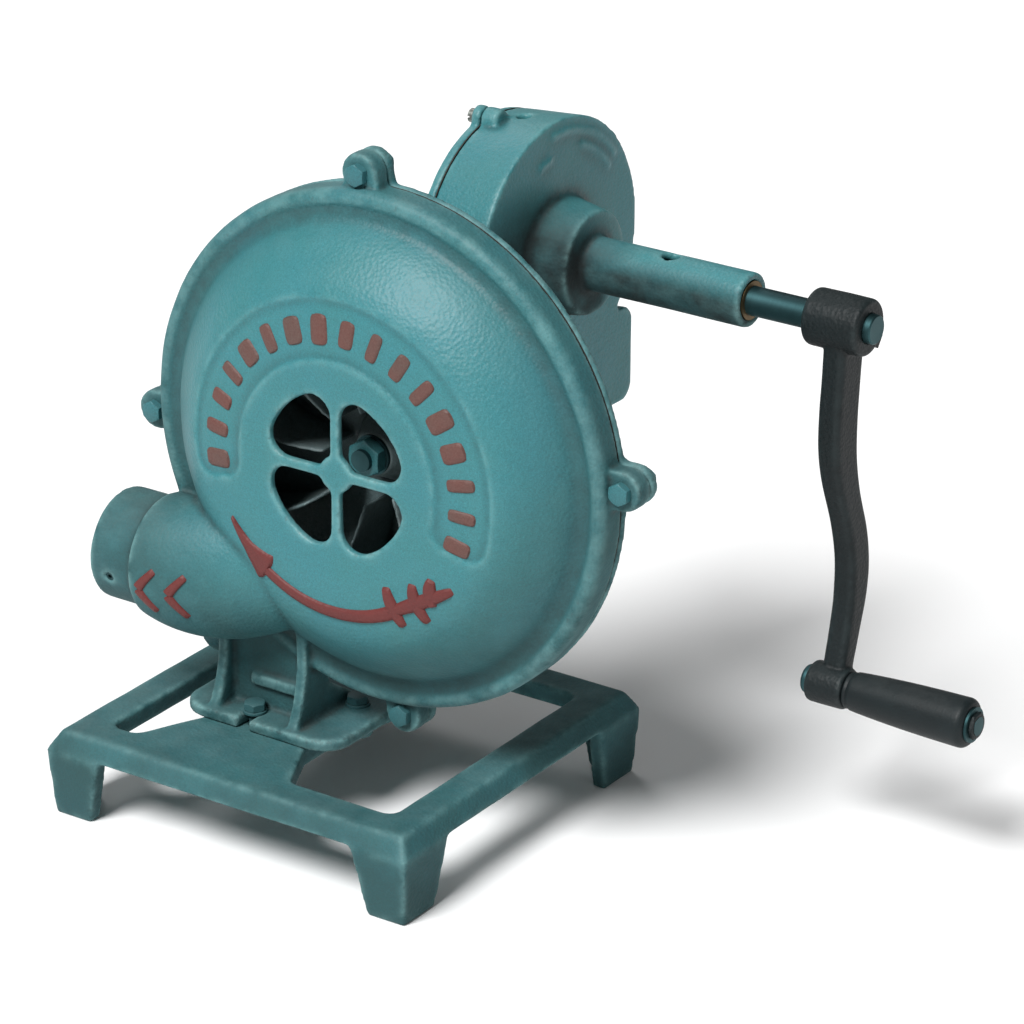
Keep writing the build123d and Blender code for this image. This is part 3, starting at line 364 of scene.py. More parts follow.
def smoothed(values: np.ndarray, ends: np.ndarray, rounds: int) -> np.ndarray:
    """Moves each vertex's values half way to the mean of its neighbours, again and again.

    Args:
        values: a row of values for each vertex (n, k).
        ends: the two vertices of each edge (m, 2).
        rounds: how many times they move.

    Returns:
        Array (n, k) of smoothed values.
    """
    for _ in range(rounds):
        values = values + 0.5 * (edge_average(values, ends) - values)
    return values


def read_rows(items: bpy.types.bpy_prop_collection, key: str, width: int, kind: type) -> np.ndarray:
    """Reads one property of all vertices or edges.

    Args:
        items: the mesh's vertices or edges.
        key: name of the property.
        width: how many numbers it has.
        kind: type of its numbers.

    Returns:
        Array (n, width).
    """
    flat = np.empty(len(items) * width, kind)
    items.foreach_get(key, flat)
    return flat.reshape(-1, width)


def applied(piece: bpy.types.Object) -> bpy.types.Mesh:
    """New mesh of a piece with its modifiers applied."""
    graph = bpy.context.evaluated_depsgraph_get()
    return bpy.data.meshes.new_from_object(piece.evaluated_get(graph))


def cast_waves(co: np.ndarray, seed: int, size: float) -> np.ndarray:
    """Low unevenness of a sand casting, a sum of sine waves in random directions.

    Args:
        co: vertex places in metres.
        seed: picks the directions.
        size: greatest height in metres.

    Returns:
        A height for each vertex.
    """
    pick = np.random.default_rng(seed)
    waves = pick.normal(size=(7, 3))
    waves /= np.linalg.norm(waves, axis=1, keepdims=True)
    length = pick.uniform(0.012, 0.055, 7)
    phase = pick.uniform(0, 2 * np.pi, 7)
    height = np.sin(co @ (waves.T * (2 * np.pi / length)) + phase)
    return height.mean(axis=1) * size


@dataclass
class CastingMaker:
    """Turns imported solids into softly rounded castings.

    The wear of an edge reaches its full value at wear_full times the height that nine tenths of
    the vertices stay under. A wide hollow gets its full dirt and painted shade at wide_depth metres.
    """

    tri_limit: int = 185_000
    wear_blurs: int = 3
    wear_full: float = 2.2
    wide_rounds: int = 48
    wide_depth: float = 0.0009

    def remeshed(self, name: str, node: bpy.types.Object, voxel: float) -> bpy.types.Object:
        """Even mesh of a node's solid.

        Args:
            name: name of the new piece.
            node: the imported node.
            voxel: size of the new faces in metres.

        Returns:
            A new linked object with the even mesh.
        """
        mesh = node.data.copy()
        tidy_mesh(mesh, outwards=False)
        rough = linked(name + "_rough", mesh)
        step = rough.modifiers.new("even", "REMESH")
        step.mode = "VOXEL"
        step.voxel_size = voxel
        even = applied(rough)
        bpy.data.objects.remove(rough)
        even.name = name
        return linked(name, even)

    def soften(self, mesh: bpy.types.Mesh, rounds: int, waves: float, seed: int) -> None:
        """Rounds a mesh's edges, adds the unevenness of a casting and stores wear and hollow.

        Each round moves a vertex half way to the mean of its neighbours. Wear is how far a vertex
        then stands out from that mean along its normal, and hollow how far it lies in. Wide hollows,
        which are later darkened with dirt and painted shade, are found the same way after many more rounds.

        Args:
            mesh: the even mesh.
            rounds: how many times it is smoothed.
            waves: height of the unevenness in metres.
            seed: picks the unevenness.
        """
        ends = read_rows(mesh.edges, "vertices", 2, np.int32)
        co = smoothed(read_rows(mesh.vertices, "co", 3, np.float32).astype(float), ends, rounds)
        mesh.vertices.foreach_set("co", co.ravel())
        mesh.update()
        normal = read_rows(mesh.vertices, "normal", 3, np.float32).astype(float)
        wear = ((co - edge_average(co, ends)) * normal).sum(axis=1)
        wear = smoothed(wear[:, None], ends, self.wear_blurs)[:, 0]
        wear /= self.wear_full * np.percentile(np.abs(wear), 90) + 1e-9
        # wide hollows, later darkened with dirt and painted shade
        wide = smoothed(co, ends, self.wide_rounds)
        sunk = ((wide - co) * normal).sum(axis=1) / self.wide_depth
        for label, values in (("wear", wear), ("hollow", np.maximum(sunk, -wear))):
            layer = mesh.attributes.new(label, "FLOAT", "POINT")
            layer.data.foreach_set("value", np.clip(values, 0, 1).astype(np.float32))
        co += normal * cast_waves(co, seed, waves)[:, None]
        # nothing may reach under the floor
        co[:, 2] = np.maximum(co[:, 2], 0.0)
        mesh.vertices.foreach_set("co", co.ravel())
        mesh.update()

    def cast(self, node_name: str, voxel_mm: float, rounds: int, waves_mm: float) -> bpy.types.Object:
        """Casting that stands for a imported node.

        Args:
            node_name: the node that it replaces.
            voxel_mm: size of the faces.
            rounds: amount of rounding.
            waves_mm: height of the cast unevenness.

        Returns:
            The new piece, which replaces the node.
        """
        node = bpy.data.objects[node_name]
        piece = self.remeshed(node_name + "_cast", node, voxel_mm * MM)
        self.soften(piece.data, rounds, waves_mm * MM, seed=sum(map(ord, node_name)))
        faces = 2 * len(piece.data.polygons)
        if faces > self.tri_limit:
            step = piece.modifiers.new("fewer", "DECIMATE")
            step.ratio = self.tri_limit / faces
            fewer = applied(piece)
            piece.modifiers.clear()
            piece.data = fewer
        piece.data.shade_smooth()
        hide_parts(node_name)
        return piece


# ---- shader graphs ------------------------------------------------------------------------------
class Graph:
    """Short way to write a node tree."""

    def __init__(self, tree: bpy.types.NodeTree) -> None:
        """Wraps the node tree to write in."""
        self.tree = tree

    def feed(self, socket: bpy.types.NodeSocket, value: object) -> None:
        """Links a socket or sets its value.

        Args:
            socket: the input socket.
            value: an output socket to link, or a plain value.
        """
        if isinstance(value, bpy.types.NodeSocket):
            self.tree.links.new(value, socket)
        else:
            socket.default_value = value

    def node(self, kind: str, inputs: dict | None = None, **settings: object) -> bpy.types.Node:
        """Adds a node.

        Args:
            kind: the node type without its ShaderNode prefix.
            inputs: socket name or number to value or socket.
            **settings: properties of the node.

        Returns:
            The node.
        """
        made = self.tree.nodes.new("ShaderNode" + kind)
        for key, value in settings.items():
            setattr(made, key, value)
        for key, value in (inputs or {}).items():
            self.feed(made.inputs[key], value)
        return made

    def maths(self, operation: str, a: object, b: object, clamp: bool = False) -> bpy.types.NodeSocket:
        """Result of a math node."""
        return self.node("Math", {0: a, 1: b}, operation=operation, use_clamp=clamp).outputs[0]

    def mix(self, share: object, a: object, b: object) -> bpy.types.NodeSocket:
        """Colour between a and b."""
        return self.node("Mix", {0: share, 6: a, 7: b}, data_type="RGBA").outputs[2]

    def span(self, value: object, low: float, high: float, to_low: float = 0.0,
             to_high: float = 1.0) -> bpy.types.NodeSocket:
        """Value stretched from one range to another, and clamped."""
        return self.node("MapRange", {0: value, 1: low, 2: high, 3: to_low, 4: to_high}).outputs[0]

    def noise(self, vector: object, scale: object, detail: float, rough: float) -> bpy.types.NodeSocket:
        """Noise from 0 to 1."""
        return self.node("TexNoise", {"Vector": vector, "Scale": scale, "Detail": detail,
                                      "Roughness": rough}).outputs[0]

    def group(self, tree: bpy.types.NodeTree, inputs: dict) -> bpy.types.Node:
        """Places a node group with its own values."""
        return self.node("Group", inputs, node_tree=tree)


def new_group(name: str, inputs: dict[str, str], outputs: dict[str, str]) -> tuple:
    """Empty shader node group with named sockets.

    Args:
        name: name of the group.
        inputs: name to socket type of each input.
        outputs: name to socket type of each output.

    Returns:
        The group tree, its Graph, the sockets that it is given and the sockets of its results.
    """
    tree = bpy.data.node_groups.new(name, "ShaderNodeTree")
    for way, sockets in (("INPUT", inputs), ("OUTPUT", outputs)):
        for label, kind in sockets.items():
            tree.interface.new_socket(label, in_out=way, socket_type="NodeSocket" + kind)
    start = tree.nodes.new("NodeGroupInput")
    end = tree.nodes.new("NodeGroupOutput")
    return tree, Graph(tree), start.outputs, end.inputs


class SharedEffects:
    """Node groups that several finishes use, each made when it is first asked for."""

    @cached_property
    def speckle(self) -> bpy.types.NodeTree:
        """Grainy tint: the colour wanders between two neighbours in patches and in fine grains."""
        tree, g, given, result = new_group(
            "Grainy tint",
            {"Vector": "Vector", "Colour": "Color", "Neighbour": "Color", "Grain scale": "Float",
             "Grain": "Float", "Patches": "Float"},
            {"Colour": "Color", "Grain": "Float"})
        vector, amount = given["Vector"], given["Grain"]
        fine = g.span(g.noise(vector, given["Grain scale"], 3.0, 0.7), 0.3, 0.7)
        patch = g.span(g.noise(vector, 16.0, 4.0, 0.6), 0.35, 0.65)
        hue = g.maths("MULTIPLY", patch, given["Patches"])
        hue = g.maths("ADD", hue, g.maths("MULTIPLY", fine, amount), clamp=True)
        colour = g.mix(hue, given["Colour"], given["Neighbour"])
        dark = g.maths("MULTIPLY", g.maths("SUBTRACT", 1.0, fine), amount)
        g.feed(result["Colour"], g.mix(dark, colour, (0.0, 0.0, 0.0, 1.0)))
        g.feed(result["Grain"], fine)
        return tree

    @cached_property
    def wear_highlight_and_shade(self) -> bpy.types.NodeTree:
        """Worn edges with a painted highlight, and chips: the stored wear broken up by noise, and dirt with
        painted shade in hollows.
        """
        tree, g, given, result = new_group(
            "Edge wear",
            {"Vector": "Vector", "Wear": "Float", "Hollow": "Float", "Rub": "Float", "Chips": "Float"},
            {"Rubbed": "Float", "Chipped": "Float", "Dirt": "Float"})
        vector, wear = given["Vector"], given["Wear"]
        cloud = g.noise(vector, 70.0, 4.0, 0.65)
        # lighter worn edges: worn paint with a painted highlight
        rub_and_highlight = g.maths("MULTIPLY", wear, g.span(cloud, 0.35, 0.6))
        rub_and_highlight = g.maths("MULTIPLY", rub_and_highlight, given["Rub"], clamp=True)
        flakes = g.noise(vector, 210.0, 3.0, 0.6)
        chip = g.span(g.maths("ADD", g.maths("MULTIPLY", wear, 0.34), flakes), 0.80, 0.84)
        chip = g.maths("MULTIPLY", chip, given["Chips"], clamp=True)
        ragged = g.span(cloud, 0.25, 0.7, 0.35, 1.0)
        # dirt with painted shade in hollows
        dirt_and_shade = g.maths("MULTIPLY", given["Hollow"], ragged, clamp=True)
        for label, value in (("Rubbed", rub_and_highlight), ("Chipped", chip), ("Dirt", dirt_and_shade)):
            g.feed(result[label], value)
        return tree

    @cached_property
    def dust(self) -> bpy.types.NodeTree:
        """Dust on faces that look up, broken up by noise."""
        tree, g, given, result = new_group(
            "Settled dust", {"Vector": "Vector", "Amount": "Float"}, {"Dust": "Float"})
        up = g.node("SeparateXYZ", {0: g.node("NewGeometry").outputs["Normal"]}).outputs[2]
        cloud = g.span(g.noise(given["Vector"], 45.0, 5.0, 0.7), 0.3, 0.75)
        dust = g.maths("MULTIPLY", g.span(up, 0.45, 1.0), cloud)
        g.feed(result["Dust"], g.maths("MULTIPLY", dust, given["Amount"], clamp=True))
        return tree

    @cached_property
    def floor_shade(self) -> bpy.types.NodeTree:
        """Painted shade that deepens towards the floor, with a ragged upper edge."""
        tree, g, given, result = new_group(
            "Floor soot", {"Vector": "Vector", "Top": "Float", "Amount": "Float"}, {"Soot": "Float"})
        height = g.node("SeparateXYZ", {0: given["Vector"]}).outputs[2]
        cloud = g.noise(given["Vector"], 22.0, 4.0, 0.6)
        height = g.maths("ADD", height, g.maths("MULTIPLY", g.maths("SUBTRACT", cloud, 0.5), 0.09))
        share = g.span(g.maths("DIVIDE", height, given["Top"]), 0.25, 1.0, 1.0, 0.0)
        g.feed(result["Soot"], g.maths("MULTIPLY", share, given["Amount"], clamp=True))
        return tree

    @cached_property
    def cast_skin(self) -> bpy.types.NodeTree:
        """Height of a painted sand casting: hammered dimples, orange peel and coarse lumps."""
        tree, g, given, result = new_group(
            "Cast skin",
            {"Vector": "Vector", "Dimple scale": "Float", "Dimples": "Float", "Lumps": "Float"},
            {"Height": "Float"})
        vector = given["Vector"]
        cells = g.node("TexVoronoi", {"Vector": vector, "Scale": given["Dimple scale"],
                                      "Smoothness": 0.6}, feature="SMOOTH_F1").outputs["Distance"]
        dimples = g.maths("MULTIPLY", cells, given["Dimples"])
        lumps = g.maths("MULTIPLY", g.noise(vector, 85.0, 4.0, 0.6), given["Lumps"])
        peel = g.maths("MULTIPLY", g.noise(vector, 900.0, 2.0, 0.5), 0.12)
        g.feed(result["Height"], g.maths("ADD", g.maths("ADD", dimples, lumps), peel))
        return tree


def rgba(colour: Colour) -> tuple[float, float, float, float]:
    """Colour with full alpha."""
    return (*colour, 1.0)


def blank_material(name: str) -> tuple[bpy.types.Material, Graph, bpy.types.NodeSocket]:
    """New material with a plain shader.

    Args:
        name: name of the material.

    Returns:
        The material, its graph and its object coordinates.
    """
    made = bpy.data.materials.new(name)
    made.use_nodes = True
    g = Graph(made.node_tree)
    return made, g, g.node("TexCoord").outputs["Object"]


def fill_shader(g: Graph, colour: object, rough: object, height: object, relief: float,
                strength: float = 1.0) -> bpy.types.Node:
    """Feeds a material's shader.

    Args:
        g: the material's graph.
        colour: base colour.
        rough: roughness.
        height: height of the fine relief, from 0 to 1.
        relief: how high a height of 1 stands, in metres.
        strength: strength of the relief.

    Returns:
        The shader's node.
    """
    shader = g.tree.nodes["Principled BSDF"]
    bump = g.node("Bump", {"Height": height, "Distance": relief, "Strength": strength})
    for label, value in (("Base Color", colour), ("Roughness", rough), ("Normal", bump.outputs[0])):
        g.feed(shader.inputs[label], value)
    return shader


@dataclass(frozen=True)
class ShadePatch:
    """Patch of painted shade around a point: nothing at one distance from it, full at the other.

    The weights scale the distance along each axis; a weight of 0 leaves that axis out.
    """

    centre: Vec3
    weights: Vec3
    none_at: float
    full_at: float
    amount: float

    def share(self, g: Graph, place: bpy.types.NodeSocket) -> bpy.types.NodeSocket:
        """How dark the painted shade is at each place.

        Args:
            g: the material's graph.
            place: object coordinates.

        Returns:
            The share of painted shade from 0 to the patch's amount.
        """
        away = g.node("VectorMath", {0: place, 1: self.centre}, operation="SUBTRACT").outputs[0]
        away = g.node("VectorMath", {0: away, 1: self.weights}, operation="MULTIPLY").outputs[0]
        away = g.node("VectorMath", {0: away}, operation="LENGTH").outputs[1]
        return g.span(away, self.none_at, self.full_at, 0.0, self.amount)


@dataclass(frozen=True)
class PaintedCasting:
    """Enamel over cast iron or steel, with grain, worn edges with a painted highlight, dirt with painted
    shade in hollows, painted shade towards the floor and in patches, and dust.
    """

    colour: Colour
    neighbour: Colour
    bare: Colour = (0.035, 0.034, 0.032)
    # lighter edge colour: worn paint and a painted highlight
    rub_and_highlight: Colour = (0.22, 0.42, 0.42)
    # colour of dirt and painted shade, in hollows, towards the floor and in patches
    dirt_and_shade: Colour = (0.012, 0.022, 0.022)
    dust: Colour = (0.32, 0.36, 0.34)
    grain_scale: float = 1100.0
    grain: float = 0.34
    patches: float = 0.35
    # strength of the lighter worn edges with their painted highlight
    rub_and_highlight_share: float = 0.5
    chips: float = 0.22
    chip_depth: float = 0.35
    # how much dirt and painted shade fills the hollows
    hollow_dirt_shade_amount: float = 0.85
    dust_amount: float = 0.10
    roughness: float = 0.42
    grain_roughness: float = 0.12
    # roughness added under dust and painted shade
    dust_and_shade_roughness: float = 0.42
    dimple_scale: float = 420.0
    dimples: float = 0.40
    lumps: float = 0.35
    relief: float = 0.0007
    # painted shade that deepens towards the floor: its amount, and the height in metres where it fades out
    low_shade: float = 0.70
    low_shade_top: float = 0.13
    shine: float = 0.40
    # patches of painted shade
    shade_patches: tuple[ShadePatch, ...] = ()

    def painted_shade(self, g: Graph, place: bpy.types.NodeSocket,
              low_shade: bpy.types.NodeSocket) -> bpy.types.NodeSocket:
        """How much painted shade darkens the paint: the shade towards the floor or the shade patches,
        whichever is more.

        Args:
            g: the material's graph.
            place: object coordinates.
            low_shade: the share of painted shade towards the floor.

        Returns:
            The share of painted shade from 0 to 1.
        """
        cloud = g.span(g.noise(place, 26.0, 4.0, 0.6), 0.3, 0.6, 0.7, 1.0)
        painted_shade = low_shade
        # each patch of painted shade, broken up by the cloud
        for stain in self.shade_patches:
            painted_shade = g.maths("MAXIMUM", painted_shade, g.maths("MULTIPLY", stain.share(g, place), cloud))
        return painted_shade

    def material(self, name: str, effects: SharedEffects) -> bpy.types.Material:
        """Builds the material.

        Args:
            name: name of the material.
            effects: the shared node groups.

        Returns:
            The material.
        """
        made, g, place = blank_material(name)
        tint = g.group(effects.speckle, {
            "Vector": place, "Colour": rgba(self.colour), "Neighbour": rgba(self.neighbour),
            "Grain scale": self.grain_scale, "Grain": self.grain, "Patches": self.patches})
        wear_and_painted_light = g.group(effects.wear_highlight_and_shade, {
            "Vector": place, "Wear": g.node("Attribute", attribute_name="wear").outputs["Fac"],
            "Hollow": g.node("Attribute", attribute_name="hollow").outputs["Fac"],
            "Rub": self.rub_and_highlight_share, "Chips": self.chips})
        dust = g.group(effects.dust, {"Vector": place, "Amount": self.dust_amount}).outputs["Dust"]
        # painted shade towards the floor
        low_shade = g.group(effects.floor_shade, {"Vector": place, "Top": self.low_shade_top, "Amount": self.low_shade})
        skin = g.group(effects.cast_skin, {"Vector": place, "Dimple scale": self.dimple_scale,
                                           "Dimples": self.dimples, "Lumps": self.lumps})
        # painted shade: darker towards the floor and in the shade patches
        painted_shade = self.painted_shade(g, place, low_shade.outputs["Soot"])
        # dirt with painted shade in hollows
        hollow = g.maths("MULTIPLY", wear_and_painted_light.outputs["Dirt"], self.hollow_dirt_shade_amount)
        colour = tint.outputs["Colour"]
        # laid on in turn: painted shade, dirt with painted shade in hollows, lighter worn edges with a
        # painted highlight, bare chips, dust
        for share, layer in ((painted_shade, self.dirt_and_shade), (hollow, self.dirt_and_shade), (wear_and_painted_light.outputs["Rubbed"], self.rub_and_highlight),
                             (wear_and_painted_light.outputs["Chipped"], self.bare), (dust, self.dust)):
            colour = g.mix(share, colour, rgba(layer))
        grain = g.maths("MULTIPLY", tint.outputs["Grain"], self.grain_roughness)
        rough = g.maths("ADD", self.roughness, grain)
        matt = g.maths("MULTIPLY", g.maths("MAXIMUM", dust, painted_shade), self.dust_and_shade_roughness)
        rough = g.maths("ADD", rough, matt, clamp=True)
        sunk = g.maths("MULTIPLY", wear_and_painted_light.outputs["Chipped"], self.chip_depth)
        height = g.maths("SUBTRACT", skin.outputs["Height"], sunk)
        shader = fill_shader(g, colour, rough, height, self.relief)
        shader.inputs["Specular IOR Level"].default_value = self.shine
        return made


@dataclass(frozen=True)
class TurnedMetal:
    """Machined metal with fine turning marks, stains and a film of oil."""

    colour: Colour
    stain: Colour
    roughness: float = 0.34
    ring_scale: float = 900.0
    ring_roughness: float = 0.18
    relief: float = 0.00008

    def material(self, name: str, effects: SharedEffects) -> bpy.types.Material:
        """Builds the material.

        Args:
            name: name of the material.
            effects: the shared node groups.

        Returns:
            The material.
        """
        made, g, place = blank_material(name)
        stretched = g.node("Mapping", {"Vector": place, "Scale": (1.0, 0.04, 0.04)}).outputs[0]
        marks = g.noise(stretched, self.ring_scale, 2.0, 0.5)
        tint = g.group(effects.speckle, {
            "Vector": place, "Colour": rgba(self.colour), "Neighbour": rgba(self.stain),
            "Grain scale": 300.0, "Grain": 0.12, "Patches": 0.55})
        rough = g.maths("ADD", self.roughness, g.maths("MULTIPLY", marks, self.ring_roughness), clamp=True)
        shader = fill_shader(g, tint.outputs["Colour"], rough, marks, self.relief, 0.7)
        shader.inputs["Metallic"].default_value = 1.0
        return made


@dataclass(frozen=True)
class SoftMatter:
    """Plain matt matter such as a moulded grip or gasket paper."""

    colour: Colour
    neighbour: Colour
    dust: Colour = (0.2, 0.22, 0.22)
    dust_amount: float = 0.10
    roughness: float = 0.55
    grain_roughness: float = 0.15
    relief: float = 0.00025
    shine: float = 0.25

    def material(self, name: str, effects: SharedEffects) -> bpy.types.Material:
        """Builds the material.

        Args:
            name: name of the material.
            effects: the shared node groups.

        Returns:
            The material.
        """
        made, g, place = blank_material(name)
        tint = g.group(effects.speckle, {
            "Vector": place, "Colour": rgba(self.colour), "Neighbour": rgba(self.neighbour),
            "Grain scale": 900.0, "Grain": 0.25, "Patches": 0.6})
        dust = g.group(effects.dust, {"Vector": place, "Amount": self.dust_amount}).outputs["Dust"]
        skin = g.group(effects.cast_skin, {
            "Vector": place, "Dimple scale": 700.0, "Dimples": 0.25, "Lumps": 0.4}).outputs["Height"]
        colour = g.mix(dust, tint.outputs["Colour"], rgba(self.dust))
        grain = g.maths("MULTIPLY", tint.outputs["Grain"], self.grain_roughness)
        rough = g.maths("ADD", self.roughness, grain, clamp=True)
        shader = fill_shader(g, colour, rough, skin, self.relief)
        shader.inputs["Specular IOR Level"].default_value = self.shine
        return made


def finish_recipes(layout: Layout) -> dict[Finish, PaintedCasting | TurnedMetal | SoftMatter]:
    """Recipe of every finish.

    Args:
        layout: the machine's frame, in which the patches of painted shade lie.

    Returns:
        Finish to recipe.
    """
    teal = (0.040, 0.200, 0.208)
    teal_blue = (0.036, 0.210, 0.255)
    # Patches of painted shade: a ring in the cove inside the rim, the front of the bearing boss and the
    # underside of the sleeve.
    rim = ShadePatch(layout.point(0.0, 0.0, layout.fan_z + 24.0), (1.0, 0.0, 1.0), 0.116, 0.178, 0.64)
    bearing = ShadePatch(layout.point(44.0, 116.0, 348.0), (1.0, 1.0, 1.0), 0.070, 0.032, 0.97)
    sleeve = ShadePatch(layout.point(112.0, 140.0, 332.0), (0.2, 1.0, 1.0), 0.040, 0.027, 0.93)
    return {
        Finish.TEAL: PaintedCasting(teal, teal_blue),
        Finish.CASE_TEAL: PaintedCasting(teal, teal_blue, shade_patches=(rim,)),
        # darker colour for dirt and painted shade, with the boss and sleeve patches of painted shade
        Finish.OILY_TEAL: PaintedCasting(
            teal, teal_blue, dirt_and_shade=(0.007, 0.011, 0.011), shade_patches=(bearing, sleeve)),
        Finish.TEAL_FASTENER: PaintedCasting(
            (0.034, 0.150, 0.160), (0.036, 0.170, 0.205), chips=0.4, dimples=0.15, relief=0.0004),
        Finish.FAN: PaintedCasting(
            (0.140, 0.185, 0.188), (0.120, 0.190, 0.200), rub_and_highlight=(0.12, 0.18, 0.18), rub_and_highlight_share=0.3, lumps=0.8),
        Finish.BLACK: PaintedCasting(
            (0.0065, 0.0100, 0.0108), (0.009, 0.016, 0.018), rub_and_highlight=(0.030, 0.046, 0.048),
            bare=(0.06, 0.06, 0.06), dirt_and_shade=(0.003, 0.004, 0.004), dust=(0.05, 0.07, 0.07), roughness=0.48,
            chips=0.15, low_shade=0.0, shine=0.25),
        Finish.GRIP: SoftMatter((0.0065, 0.0095, 0.0105), (0.010, 0.018, 0.020), roughness=0.46),
        Finish.STEEL: TurnedMetal((0.048, 0.112, 0.122), (0.022, 0.052, 0.056), roughness=0.42),
        Finish.ZINC: TurnedMetal((0.32, 0.35, 0.33), (0.20, 0.21, 0.19)),
        # bronze darkened far below its bare colour: grime, and painted shade where the bush sits dark in the
        # sleeve's end
        Finish.BRONZE: TurnedMetal((0.20, 0.135, 0.065), (0.07, 0.055, 0.035), roughness=0.45),
        Finish.PAPER: SoftMatter((0.030, 0.030, 0.026), (0.045, 0.042, 0.034), roughness=0.8),
        Finish.RED: PaintedCasting(
            (0.155, 0.026, 0.022), (0.105, 0.022, 0.022), rub_and_highlight=(0.10, 0.05, 0.045), bare=(0.05, 0.14, 0.15),
            dirt_and_shade=(0.03, 0.012, 0.01), chips=0.8, dust=(0.18, 0.12, 0.11), roughness=0.5),
        Finish.FADED_RED: PaintedCasting(
            (0.150, 0.046, 0.036), (0.095, 0.070, 0.060), rub_and_highlight=(0.05, 0.14, 0.15), bare=(0.045, 0.18, 0.19),
            dirt_and_shade=(0.03, 0.02, 0.018), dust=(0.18, 0.14, 0.13), rub_and_highlight_share=0.7, chips=0.9, patches=0.6,
            roughness=0.5),
    }


@dataclass
class Workshop:
    """Keeps the frame, the finishes and the bodies, and puts pieces in place."""

    layout: Layout
    nodes: dict[str, bpy.types.Object]
    body_of_node: dict[str, str]
    record_slots: list[dict]
    effects: SharedEffects = field(default_factory=SharedEffects)
    materials: dict[Finish, bpy.types.Material] = field(default_factory=dict)

    def mix_paints(self) -> None:
        """Makes one material for each finish."""
        for finish, recipe in finish_recipes(self.layout).items():
            self.materials[finish] = recipe.material(finish.value, self.effects)

    def dress(self, piece: bpy.types.Object, finish: Finish) -> None:
        """Gives a piece one finish.

        Args:
            piece: the piece.
            finish: its finish.
        """
        piece.data.materials.clear()
        piece.data.materials.append(self.materials[finish])

    def fit(self, piece: bpy.types.Object, finish: Finish, body: str) -> bpy.types.Object:
        """Dresses a new piece and lets it ride on a body.

        Args:
            piece: the new piece.
            finish: its finish.
            body: the body that it moves with.

        Returns:
            The piece.
        """
        self.dress(piece, finish)
        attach(piece, body)
        LOG.info("%s: %d faces, %s, rides on %s", piece.name, len(piece.data.polygons), finish.value, body)
        return piece

    def stand_in(self, node: str, surface: Surface, finish: Finish, smooth_angle: float = 38.0) -> None:
        """Puts a worked-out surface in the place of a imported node.

        Args:
            node: the node that it replaces.
            surface: the piece's surface.
            finish: its finish.
            smooth_angle: edges sharper than this stay sharp.
        """
        piece = new_piece(node + "_dressed", surface, self.layout, smooth_angle)
        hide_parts(node)
        self.fit(piece, finish, self.body_of_node[node])

    def cast(self, node: str, finish: Finish, voxel: float, rounds: int, waves: float) -> None:
        """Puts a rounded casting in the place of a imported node.

        Args:
            node: the node that it replaces.
            finish: its finish.
            voxel: size of its faces in millimetres.
            rounds: amount of rounding.
            waves: height of its unevenness in millimetres.
        """
        piece = CastingMaker().cast(node, voxel, rounds, waves)
        self.fit(piece, finish, self.body_of_node[node])

    def paint_nodes(self) -> None:
        """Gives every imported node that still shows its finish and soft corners."""
        slots = {entry["node"]: entry["material_slot"] for entry in self.record_slots}
        for name, node in self.nodes.items():
            if not node.hide_render:
                self.dress(node, Finish(slots[name]))
                node.data.set_sharp_from_angle(angle=math.radians(35))


# ---- sub-assemblies -----------------------------------------------------------------------------
@dataclass
class Assembly:
    """Pieces that are made together."""

    shop: Workshop


@dataclass
class Castings(Assembly):
    """Castings of the stand, the fan case and the gear head.

    A row holds the node, its finish, the size of its faces, the rounds of smoothing and the height
    of the unevenness, in millimetres.
    """

    rows: tuple[tuple[str, Finish, float, int, float], ...] = (
        ("stand_frame", Finish.TEAL, 1.5, 6, 0.25),
        ("fan_case_front", Finish.CASE_TEAL, 1.25, 8, 0.25),
        ("fan_case_back", Finish.CASE_TEAL, 1.6, 6, 0.25),
        ("gear_housing", Finish.OILY_TEAL, 1.35, 6, 0.25),
        ("side_cover", Finish.TEAL, 1.35, 5, 0.25),
        ("bearing_cap", Finish.TEAL, 0.8, 4, 0.1),
    )

    def build(self) -> None:
        """Builds the castings."""
        for row in self.rows:
            self.shop.cast(*row)


@dataclass
class FanWheel(Assembly):
    """Impeller behind the intake, and the nut on its shaft."""

    nut_flat: float = 11.0
    nut_seat: float = -4.0
    nut_front: float = -13.0
    nut_hole: float = 7.05

    def build(self) -> None:
        """Builds the cast impeller and its nut."""
        self.shop.cast("impeller", Finish.FAN, 1.2, 3, 0.15)
        shaft = Spindle(Axis.Y, (0.0, 0.0, self.shop.layout.fan_z))
        nut = shaft.hexagon(self.nut_flat, self.nut_seat, self.nut_front, self.nut_hole)
        self.shop.stand_in("impeller_nut", nut, Finish.TEAL_FASTENER)


@dataclass(frozen=True)
class BoltSize:
    """Sizes of a hexagon bolt. The thread starts inside the head, sunk under its outer face."""

    flat: float
    head_t: float
    thread_r: float
    pitch: float
    sunk: float


